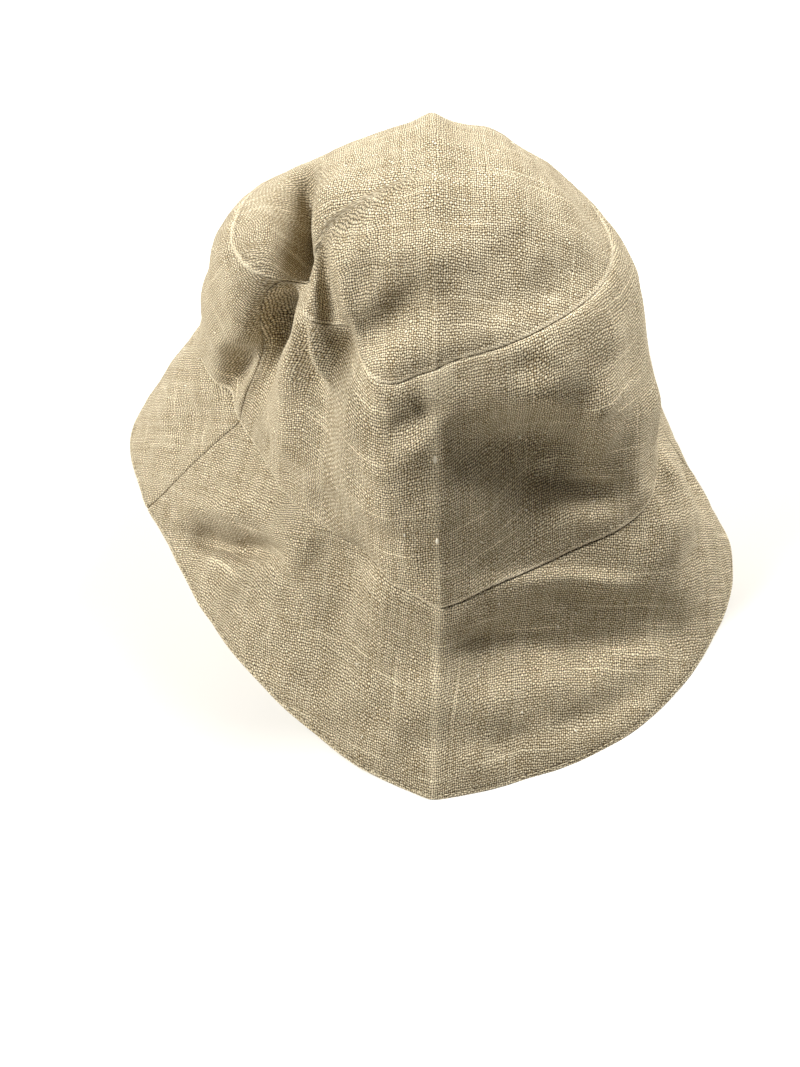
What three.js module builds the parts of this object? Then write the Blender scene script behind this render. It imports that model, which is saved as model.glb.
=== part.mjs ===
import * as THREE from "three";

// A soft linen bucket hat that rests on its brim, in millimetres, with Z up. The origin is on
// the table, in the middle of the hat's footprint, and the pointed front of the brim is at -Y.
// A point of the cloth is named by a turn and a station. The turn goes round the hat in
// degrees: 0 on the front crease, 90 and -90 on the side seams, 180 on the back crease. The
// station is 0 in the middle of the top panel, 1 on the crown seam, 2 on the brim seam and 3
// on the brim edge.

const wall = { tip: 1.6, band: 1.6, brim: 2.0 };
const seamGap = 0.3;
const bandBelly = 5;
const brimBelly = 1.5;
const footprintShift = { x: 2, y: 6 };

// The top panel: its middle, how its plan and its height grow towards the crown seam, and how
// far from that seam the waves of the seam reach.
const tip = { x: 2, y: 46, height: 158, planPower: 0.93, dropPower: 2.4, wavePower: 7 };

// Each ring of the hat: its middle in plan, how far the left and the right side seam are
// turned from 90 degrees, and the height and half width of the crease at front and back.
const rings = {
  crown: { x: 0, y: 40, leftShift: 23, rightShift: 7, creaseHeight: 3.5, creaseWidth: 7 },
  base: { x: 3, y: 8, leftShift: 1, rightShift: 3, creaseHeight: 5, creaseWidth: 8 },
  brim: { x: 0, y: -8, leftShift: -6, rightShift: 6, creaseHeight: 3.5, creaseWidth: 9 },
};
const creaseRounding = 1.2;

// Sections through the hat: how far each ring reaches from its middle, and how high it lies.
const sections = rows(
  ["turn", "crownReach", "crownHeight", "baseReach", "baseHeight", "brimReach"],
  [-155, 63, 128, 94, 66, 136],
  [-130, 67, 127, 110, 65, 150],
  [-112, 72, 131, 109, 63, 147],
  [-95, 75, 135, 86, 60, 122],
  [-80, 75.5, 134, 75, 57, 109],
  [-69, 67, 132.5, 71.5, 56, 104.5],
  [-63, 54, 132, 71, 55.5, 102.7],
  [-57, 56, 131, 70, 55, 102.2],
  [-50, 63, 129.5, 69, 54, 102],
  [-42, 60, 129, 68, 53.5, 102.8],
  [-34, 56, 128, 67.5, 53, 105.2],
  [-25, 68, 125, 68, 52, 109],
  [-13, 70, 124, 77, 51, 117],
  [0, 61, 124, 82, 50, 122],
  [18, 60, 126, 79, 51, 124],
  [40, 62, 128, 80, 52, 127],
  [62, 68, 131, 92, 54, 130],
  [85, 71, 132, 90, 57, 133],
  [110, 68, 125, 93, 61, 119],
  [135, 67, 123, 98, 64, 138],
  [158, 65, 129, 93, 66, 135],
  [180, 62, 131, 88, 67, 126],
);

// Folds, dents and swells: each is a soft line through its stops that pushes the cloth near it.
const folds = [
  fold("left valley", 7, [-55, 10, 134, 4, 3, -8], [-54, 24, 145, 5, 1, -17],
    [-53, 38, 149, 4, 0, -17], [-51, 52, 150, 3, 0, -8], [-50, 60, 148, 2, 0, -2]),
  fold("recess under lobe", 9, [-50, 10, 122, 3, 4, 0], [-57, 8, 112, 4, 4, 0],
    [-65, 8, 100, 4, 4, 0], [-74, 10, 86, 5, 4, 0], [-84, 15, 66, 4, 4, 0]),
  fold("strip edge", 4, [-50, 8, 136, -2, -3, 2], [-48, 0, 129, -3, -4, 2],
    [-45, -8, 120, -3, -4, 1], [-38, -20, 112, -1, -2, 0]),
  fold("bulge crease", 5.5, [-45, 22, 147, 2, 1, -4], [-42, 8, 142, 3, 2, -7],
    [-39, -3, 136, 3, 3, -7], [-35, -12, 129, 2, 3, -3]),
  fold("bulge roll", 6, [-21, -28, 120, -1, -3, -1], [-3, -36, 116, 0, -3, -1]),
  fold("pocket", 7, [-28, -30, 110, 2, 3, 0], [-17, -38, 107, 0, 5, 0], [-7, -41, 107, 0, 6, 0]),
  fold("crease spur", 7, [-2, -44, 104, 0, -1, 0], [-19, -46, 98, 0, -2, 1], [-34, -42, 92, 0, -1, 0]),
  fold("tip hollow", 9, [-11, -2, 147, 0, 1, -6], [-17, -8, 143, 0, 1, -6], [-26, -13, 137, 0, 0, -3]),
  fold("right hollow", 17, [14, -38, 108, 0, 4, -1], [34, -38, 96, -1, 9, -2],
    [52, -39, 80, -2, 10, -3], [66, -36, 72, -2, 7, -2]),
  fold("right base roll", 8, [40, -54, 66, 0, -1, 0], [58, -48, 64, 0, -2, 1], [74, -38, 64, 0, -2, 1]),
  fold("right seam roll", 9, [20, -26, 122, 0, -3, 1], [45, -16, 121, 0, -4, 1], [66, -5, 120, 0, -3, 1]),
  fold("right soft ridge", 8, [66, 0, 122, 1, -3, 1], [64, -14, 106, 1, -3, 1]),
  fold("right side swell", 10, [88, 6, 88, 3, -3, 0], [88, -8, 68, 3, -3, 0]),
  fold("brim dent right", 10, [46, -67, 46, 0, 2, -5], [74, -65, 36, 0, 2, -6], [99, -59, 25, 0, 1, -4]),
  fold("brim ridge right", 7, [96, -9, 52, 2, -1, 4], [107, -22, 36, 2, -1, 4], [101, -38, 36, 1, -1, 3]),
  fold("brim dip right", 7, [112, 4, 30, -3, 2, -3], [116, -14, 24, -3, 1, -3]),
  fold("brim dent left", 9, [-101, -19, 15, 2, 3, -4], [-84, -32, 27, 2, 3, -5], [-66, -41, 39, 1, 3, -4]),
  fold("brim dent near seam", 7, [-49, -52, 43, 0, 3, -4], [-35, -58, 46, 0, 3, -4], [-23, -63, 48, 0, 2, -3]),
  fold("tip crease", 6, [0, -15, 138, 0, 0, 1], [0, 40, 157, 0, 0, 2], [0, 78, 154, 0, 0, 4], [0, 98, 140, 0, 2, 3]),
];
const foldSamples = 6;

// The brim edge lies flat on the table: folds die out over the last part of the brim.
const restFrom = 2.72;

// How finely the cloth is cut into facets.
const sectionsPerQuarter = { leftFront: 38, rightFront: 24, rightBack: 18, leftBack: 20 };
const facetRows = { tip: 9, band: 10, brim: 6 };
const tipRowPower = 0.85;

// Half steps for slopes, in degrees of turn and in stations.
const turnStep = 1;
const stationStep = 0.03;

function rows(columns, ...values) {
  return values.map((row) => Object.fromEntries(columns.map((column, i) => [column, row[i]])));
}

function fold(name, width, ...stops) {
  const columns = ["x", "y", "z", "pushX", "pushY", "pushZ"];
  return { name, width, stops: rows(columns, ...stops) };
}

function radians(degrees) {
  return degrees * Math.PI / 180;
}

// A smooth periodic curve through one column of the sections.
function sectionValue(turn, column) {
  const count = sections.length;
  const wrap = (i) => ((i % count) + count) % count;
  const turnAt = (i) => sections[wrap(i)].turn + 360 * Math.floor(i / count);
  const slopeAt = (i) => slope(turnAt, (k) => sections[wrap(k)][column], i);
  let place = ((turn - sections[0].turn) % 360 + 360) % 360 + sections[0].turn;
  let i = 0;
  while (i < count - 1 && turnAt(i + 1) <= place) i += 1;
  const span = turnAt(i + 1) - turnAt(i);
  const u = (place - turnAt(i)) / span;
  const from = sections[wrap(i)][column];
  const to = sections[wrap(i + 1)][column];
  return (2 * u ** 3 - 3 * u ** 2 + 1) * from
    + (u ** 3 - 2 * u ** 2 + u) * span * slopeAt(i)
    + (3 * u ** 2 - 2 * u ** 3) * to
    + (u ** 3 - u ** 2) * span * slopeAt(i + 1);
}

// The slope at a row of unevenly spaced values, weighted towards its nearer neighbour.
function slope(placeAt, valueAt, i) {
  const before = placeAt(i) - placeAt(i - 1);
  const after = placeAt(i + 1) - placeAt(i);
  const fall = (valueAt(i) - valueAt(i - 1)) / before;
  const rise = (valueAt(i + 1) - valueAt(i)) / after;
  return (fall * after + rise * before) / (before + after);
}

// A point on a ring, with the crease standing out at the front and the back.
function ringPoint(name, turn) {
  const ring = rings[name];
  const sway = Math.sin(radians(turn)) ** 2;
  const wrapped = ((turn + 180) % 360 + 360) % 360 - 180;
  const heading = turn + (wrapped < 0 ? ring.leftShift : ring.rightShift) * sway;
  const reach = sectionValue(heading, `${name}Reach`);
  const height = name === "brim" ? 0 : sectionValue(heading, `${name}Height`);
  const fromCrease = radians(((turn + 90) % 180 + 180) % 180 - 90) * reach;
  const crease = ring.creaseHeight
    * Math.exp(-Math.hypot(fromCrease, creaseRounding) / ring.creaseWidth);
  const angle = radians(heading);
  return new THREE.Vector3(
    ring.x + (reach + crease) * Math.sin(angle),
    ring.y - (reach + crease) * Math.cos(angle),
    height,
  );
}

// The crown seam without its waves: a weighted mean of its neighbours.
function calmCrownPoint(turn) {
  const weights = [1, 8, 28, 56, 70, 56, 28, 8, 1];
  const spacing = 7;
  const total = weights.reduce((sum, weight) => sum + weight, 0);
  const mean = new THREE.Vector3();
  weights.forEach((weight, i) => {
    const point = ringPoint("crown", turn + (i - (weights.length - 1) / 2) * spacing);
    mean.addScaledVector(point, weight / total);
  });
  return mean;
}

// The direction away from a slope, square to it and leaning outwards.
function awayFrom(run, outward) {
  return outward.clone().addScaledVector(run, -outward.dot(run) / run.lengthSq()).normalize();
}

function tipPoint(turn, share) {
  const seam = ringPoint("crown", turn);
  const calm = calmCrownPoint(turn);
  const plan = share ** tip.planPower;
  const point = new THREE.Vector3(
    tip.x + (calm.x - tip.x) * plan,
    tip.y + (calm.y - tip.y) * plan,
    tip.height + (calm.z - tip.height) * share ** tip.dropPower,
  );
  return point.addScaledVector(seam.sub(calm), share ** tip.wavePower);
}

function bandPoint(turn, share) {
  const from = ringPoint("crown", turn);
  const run = ringPoint("base", turn).sub(from);
  const outward = new THREE.Vector3(from.x - tip.x, from.y - tip.y, 0).normalize();
  const belly = bandBelly * Math.sin(Math.PI * share ** 0.6);
  return from.addScaledVector(run, share).addScaledVector(awayFrom(run, outward), belly);
}

function brimPoint(turn, share) {
  const from = ringPoint("base", turn);
  const run = ringPoint("brim", turn).sub(from);
  const outward = new THREE.Vector3(from.x - rings.base.x, from.y - rings.base.y, 0).normalize();
  const belly = brimBelly * Math.sin(Math.PI * share);
  return from.addScaledVector(run, share).addScaledVector(awayFrom(run, outward), belly);
}

function calmPoint(turn, station) {
  if (station <= 1) return tipPoint(turn, Math.max(station, 0));
  if (station <= 2) return bandPoint(turn, station - 1);
  return brimPoint(turn, Math.min(station - 2, 1));
}

// What all the folds together add at a point: soft pushes spread evenly along each line.
function foldPush(point) {
  const push = new THREE.Vector3();
  for (const { width, stops } of folds) {
    for (let i = 0; i + 1 < stops.length; i += 1) {
      const [from, to] = [stops[i], stops[i + 1]];
      const length = Math.hypot(to.x - from.x, to.y - from.y, to.z - from.z);
      const weight = length / foldSamples / (Math.sqrt(Math.PI) * width);
      for (let k = 0; k < foldSamples; k += 1) {
        const share = (k + 0.5) / foldSamples;
        const at = (column) => from[column] + (to[column] - from[column]) * share;
        const gap = Math.hypot(point.x - at("x"), point.y - at("y"), point.z - at("z"));
        const pull = weight * Math.exp(-((gap / width) ** 2));
        push.add(new THREE.Vector3(at("pushX"), at("pushY"), at("pushZ")).multiplyScalar(pull));
      }
    }
  }
  return push;
}

// The outer face of the cloth.
function outerPoint(turn, station) {
  const point = calmPoint(turn, station);
  const push = foldPush(point);
  const flat = THREE.MathUtils.smoothstep(station, restFrom, 3);
  push.z *= 1 - flat;
  return point.add(push);
}

// The two slopes of the outer face, per degree and per station.
function slopes(turn, station) {
  const round = outerPoint(turn + turnStep, station).sub(outerPoint(turn - turnStep, station));
  const lower = Math.max(station - stationStep, 0);
  const upper = Math.min(station + stationStep, 3);
  const down = outerPoint(turn, upper).sub(outerPoint(turn, lower));
  return { round: round.divideScalar(2 * turnStep), down: down.divideScalar(upper - lower) };
}

function outwardNormal(turn, station) {
  const { round, down } = slopes(turn, station);
  return down.cross(round).normalize();
}

// The inner face of the cloth, one wall below the outer one. On the brim edge both faces end
// on the table, so the inner one steps inwards as far as the slanted wall is wide there.
function innerPoint(outer, normal, station, thickness) {
  if (station < 3) return outer.clone().addScaledVector(normal, -thickness);
  const level = normal.clone().setZ(0);
  return outer.clone().addScaledVector(level, -thickness / level.lengthSq());
}

// Half a seam gap, in stations or in degrees, next to a seam.
function seamInset(turn, station, direction) {
  return seamGap / 2 / slopes(turn, station)[direction].length();
}

function quarterTurns(from, count) {
  return Array.from({ length: count }, (_, i) => from + 90 * i / count);
}

function stationRows(from, to, count, power = 1) {
  return Array.from({ length: count + 1 }, (_, i) => from + (to - from) * (i / count) ** power);
}

// The outer and inner points of one panel, kept half a gap away from the seams round it. The
// normals are those on the seam itself, so the rims on both sides of a seam are parallel.
function panelGrids(turns, stations, seamStations, seamTurns, thickness) {
  const outer = turns.map((turn) => stations.map((station) => {
    let place = station;
    if (station === seamStations.upper) place += seamInset(turn, station, "down");
    if (station === seamStations.lower) place -= seamInset(turn, station, "down");
    let heading = turn;
    if (turn === seamTurns.start) heading += seamInset(turn, station, "round");
    if (turn === seamTurns.end) heading -= seamInset(turn, station, "round");
    return outerPoint(heading, place);
  }));
  const inner = turns.map((turn, i) => stations.map((station, j) => (
    innerPoint(outer[i][j], outwardNormal(turn, station), station, thickness)
  )));
  return { outer, inner };
}

// A closed body from the outer and the inner grid of a panel, with rims between them. A round
// panel closes on itself and has a pole in its middle.
function clothGeometry({ outer, inner }, poles) {
  const positions = [];
  const add = (point) => positions.push(point.x, point.y, point.z) / 3 - 1;
  const faces = [outer, inner].map((grid) => grid.map((column) => column.map(add)));
  const [top, bottom] = faces;
  const indices = [];
  const triangle = (a, b, c) => indices.push(a, b, c);
  const quad = (a, b, c, d) => {
    triangle(a, b, c);
    triangle(a, c, d);
  };
  const columns = top.length;
  const last = top[0].length - 1;
  const strips = poles ? columns : columns - 1;
  for (let i = 0; i < strips; i += 1) {
    const n = (i + 1) % columns;
    for (let j = 0; j < last; j += 1) {
      quad(top[i][j], top[i][j + 1], top[n][j + 1], top[n][j]);
      quad(bottom[i][j], bottom[n][j], bottom[n][j + 1], bottom[i][j + 1]);
    }
    quad(top[i][last], bottom[i][last], bottom[n][last], top[n][last]);
    if (!poles) quad(bottom[n][0], bottom[i][0], top[i][0], top[n][0]);
  }
  if (poles) {
    const [topPole, bottomPole] = poles.map(add);
    for (let i = 0; i < columns; i += 1) {
      const n = (i + 1) % columns;
      triangle(topPole, top[i][0], top[n][0]);
      triangle(bottomPole, bottom[n][0], bottom[i][0]);
    }
  } else {
    for (let j = 0; j < last; j += 1) {
      quad(top[0][j], bottom[0][j], bottom[0][j + 1], top[0][j + 1]);
      const end = columns - 1;
      quad(top[end][j], top[end][j + 1], bottom[end][j + 1], bottom[end][j]);
    }
  }
  const geometry = new THREE.BufferGeometry();
  geometry.setAttribute("position", new THREE.Float32BufferAttribute(positions, 3));
  geometry.setIndex(indices);
  geometry.computeVertexNormals();
  return geometry;
}

function clothMesh(name, geometry, color) {
  const material = new THREE.MeshStandardMaterial({ color, roughness: 0.95, metalness: 0 });
  const mesh = new THREE.Mesh(geometry, material);
  mesh.name = name;
  return mesh;
}

const frontTurns = [
  ...quarterTurns(-90, sectionsPerQuarter.leftFront),
  ...quarterTurns(0, sectionsPerQuarter.rightFront),
];
const backTurns = [
  ...quarterTurns(90, sectionsPerQuarter.rightBack),
  ...quarterTurns(180, sectionsPerQuarter.leftBack),
];

// The top panel: one round piece of cloth.
function crownTip() {
  const stations = stationRows(0, 1, facetRows.tip, tipRowPower).slice(1);
  const turns = [...frontTurns, ...backTurns];
  const grids = panelGrids(turns, stations, { lower: 1 }, {}, wall.tip);
  const middle = outerPoint(0, 0);
  const below = middle.clone().setZ(middle.z - wall.tip);
  return clothMesh("crown_tip", clothGeometry(grids, [middle, below]), 0xd9cba8);
}

// Half of the side band or of the brim, from one side seam to the other.
function halfPanel(name, turns, stations, seamStations, thickness, color) {
  const ends = { start: turns[0], end: turns[turns.length - 1] };
  const grids = panelGrids(turns, stations, seamStations, ends, thickness);
  return clothMesh(name, clothGeometry(grids, null), color);
}

const bandStations = stationRows(1, 2, facetRows.band);
const brimStations = stationRows(2, 3, facetRows.brim);
const halves = { front: [...frontTurns, 90], back: [...backTurns, 270] };

const hat = new THREE.Group();
hat.position.set(footprintShift.x, footprintShift.y, 0);
hat.add(crownTip());
for (const [half, turns] of Object.entries(halves)) {
  const bandSeams = { upper: 1, lower: 2 };
  hat.add(halfPanel(`band_${half}`, turns, bandStations, bandSeams, wall.band, 0xcdbf9c));
  hat.add(halfPanel(`brim_${half}`, turns, brimStations, { upper: 2 }, wall.brim, 0xd2c4a0));
}

export default hat;
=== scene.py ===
"""A soft hat of natural linen that rests on its brim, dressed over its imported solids.

The cloth is a surface over a turn and a station. The turn goes round the hat in degrees: 0 on
the front crease, 90 and -90 on the side seams, 180 on the back crease. The station is 0 in the
middle of the top panel, 1 on the crown seam, 2 on the brim seam and 3 on the brim edge. Forms
are worked out in millimetres, as a pattern maker does, and meshes are in metres.
"""

import enum
import logging
import math
from dataclasses import dataclass, field
from typing import Any, Optional, Union

import bpy
import numpy as np
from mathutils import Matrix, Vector


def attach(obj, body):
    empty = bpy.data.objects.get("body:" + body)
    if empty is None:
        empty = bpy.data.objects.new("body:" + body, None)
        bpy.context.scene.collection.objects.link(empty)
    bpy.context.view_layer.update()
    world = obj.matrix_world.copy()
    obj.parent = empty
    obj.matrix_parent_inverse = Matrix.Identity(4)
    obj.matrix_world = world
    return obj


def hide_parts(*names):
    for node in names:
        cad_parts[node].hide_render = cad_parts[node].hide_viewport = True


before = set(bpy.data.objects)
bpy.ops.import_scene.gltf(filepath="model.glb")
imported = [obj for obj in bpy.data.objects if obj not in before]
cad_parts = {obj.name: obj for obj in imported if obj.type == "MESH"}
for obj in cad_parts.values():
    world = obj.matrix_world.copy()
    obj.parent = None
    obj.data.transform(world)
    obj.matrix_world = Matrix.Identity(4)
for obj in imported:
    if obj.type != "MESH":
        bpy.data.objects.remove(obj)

log = logging.getLogger("linen hat")

MM = 0.001
TINY = 1e-9
LAST_STATION = 3.0
BODY = "root"

Pair = tuple[float, float]
Triple = tuple[float, float, float]
Colour = Triple
Line = Triple
Array = np.ndarray
Piece = bpy.types.Object
Socket = bpy.types.NodeSocket
Finish = bpy.types.Material

# Sections through the hat: how far each ring reaches from its middle, and how high it lies.
SECTION_COLUMNS = ("turn", "crown_reach", "crown_height", "base_reach", "base_height", "brim_reach")
SECTIONS = (
    (-155, 63, 128, 94, 66, 136),
    (-130, 67, 127, 110, 65, 150),
    (-112, 72, 131, 109, 63, 147),
    (-95, 75, 135, 86, 60, 122),
    (-80, 75.5, 134, 75, 57, 109),
    (-69, 67, 132.5, 71.5, 56, 104.5),
    (-63, 54, 132, 71, 55.5, 102.7),
    (-57, 56, 131, 70, 55, 102.2),
    (-50, 63, 129.5, 69, 54, 102),
    (-42, 60, 129, 68, 53.5, 102.8),
    (-34, 56, 128, 67.5, 53, 105.2),
    (-25, 68, 125, 68, 52, 109),
    (-13, 70, 124, 77, 51, 117),
    (0, 61, 124, 82, 50, 122),
    (18, 60, 126, 79, 51, 124),
    (40, 62, 128, 80, 52, 127),
    (62, 68, 131, 92, 54, 130),
    (85, 71, 132, 90, 57, 133),
    (110, 68, 125, 93, 61, 119),
    (135, 67, 123, 98, 64, 138),
    (158, 65, 129, 93, 66, 135),
    (180, 62, 131, 88, 67, 126),
)

# Folds, dents and swells in mm: a width, then stops of x, y, z, push x, push y, push z.
FOLDS = {
    "left valley": (7, ((-55, 10, 134, 4, 3, -8), (-54, 24, 145, 5, 1, -17), (-53, 38, 149, 4, 0, -17),
        (-51, 52, 150, 3, 0, -8), (-50, 60, 148, 2, 0, -2))),
    "recess under lobe": (9, ((-50, 10, 122, 3, 4, 0), (-57, 8, 112, 4, 4, 0), (-65, 8, 100, 4, 4, 0),
        (-74, 10, 86, 5, 4, 0), (-84, 15, 66, 4, 4, 0))),
    "strip edge": (4, ((-50, 8, 136, -2, -3, 2), (-48, 0, 129, -3, -4, 2), (-45, -8, 120, -3, -4, 1),
        (-38, -20, 112, -1, -2, 0))),
    "bulge crease": (5.5, ((-45, 22, 147, 2, 1, -4), (-42, 8, 142, 3, 2, -7), (-39, -3, 136, 3, 3, -7),
        (-35, -12, 129, 2, 3, -3))),
    "bulge roll": (6, ((-21, -28, 120, -1, -3, -1), (-3, -36, 116, 0, -3, -1))),
    "pocket": (7, ((-28, -30, 110, 2, 3, 0), (-17, -38, 107, 0, 5, 0), (-7, -41, 107, 0, 6, 0))),
    "crease spur": (7, ((-2, -44, 104, 0, -1, 0), (-19, -46, 98, 0, -2, 1), (-34, -42, 92, 0, -1, 0))),
    "tip hollow": (9, ((-11, -2, 147, 0, 1, -6), (-17, -8, 143, 0, 1, -6), (-26, -13, 137, 0, 0, -3))),
    "right hollow": (17, ((14, -38, 108, 0, 4, -1), (34, -38, 96, -1, 9, -2), (52, -39, 80, -2, 10, -3),
        (66, -36, 72, -2, 7, -2))),
    "right base roll": (8, ((40, -54, 66, 0, -1, 0), (58, -48, 64, 0, -2, 1), (74, -38, 64, 0, -2, 1))),
    "right seam roll": (9, ((20, -26, 122, 0, -3, 1), (45, -16, 121, 0, -4, 1), (66, -5, 120, 0, -3, 1))),
    "right soft ridge": (8, ((66, 0, 122, 1, -3, 1), (64, -14, 106, 1, -3, 1))),
    "right side swell": (10, ((88, 6, 88, 3, -3, 0), (88, -8, 68, 3, -3, 0))),
    "brim dent right": (10, ((46, -67, 46, 0, 2, -5), (74, -65, 36, 0, 2, -6), (99, -59, 25, 0, 1, -4))),
    "brim ridge right": (7, ((96, -9, 52, 2, -1, 4), (107, -22, 36, 2, -1, 4), (101, -38, 36, 1, -1, 3))),
    "brim dip right": (7, ((112, 4, 30, -3, 2, -3), (116, -14, 24, -3, 1, -3))),
    "brim dent left": (9, ((-101, -19, 15, 2, 3, -4), (-84, -32, 27, 2, 3, -5), (-66, -41, 39, 1, 3, -4))),
    "brim dent near seam": (7, ((-49, -52, 43, 0, 3, -4), (-35, -58, 46, 0, 3, -4),
        (-23, -63, 48, 0, 2, -3))),
    "tip crease": (6, ((0, -15, 138, 0, 0, 1), (0, 40, 157, 0, 0, 2), (0, 78, 154, 0, 0, 4),
        (0, 98, 140, 0, 2, 3))),
}

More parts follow.
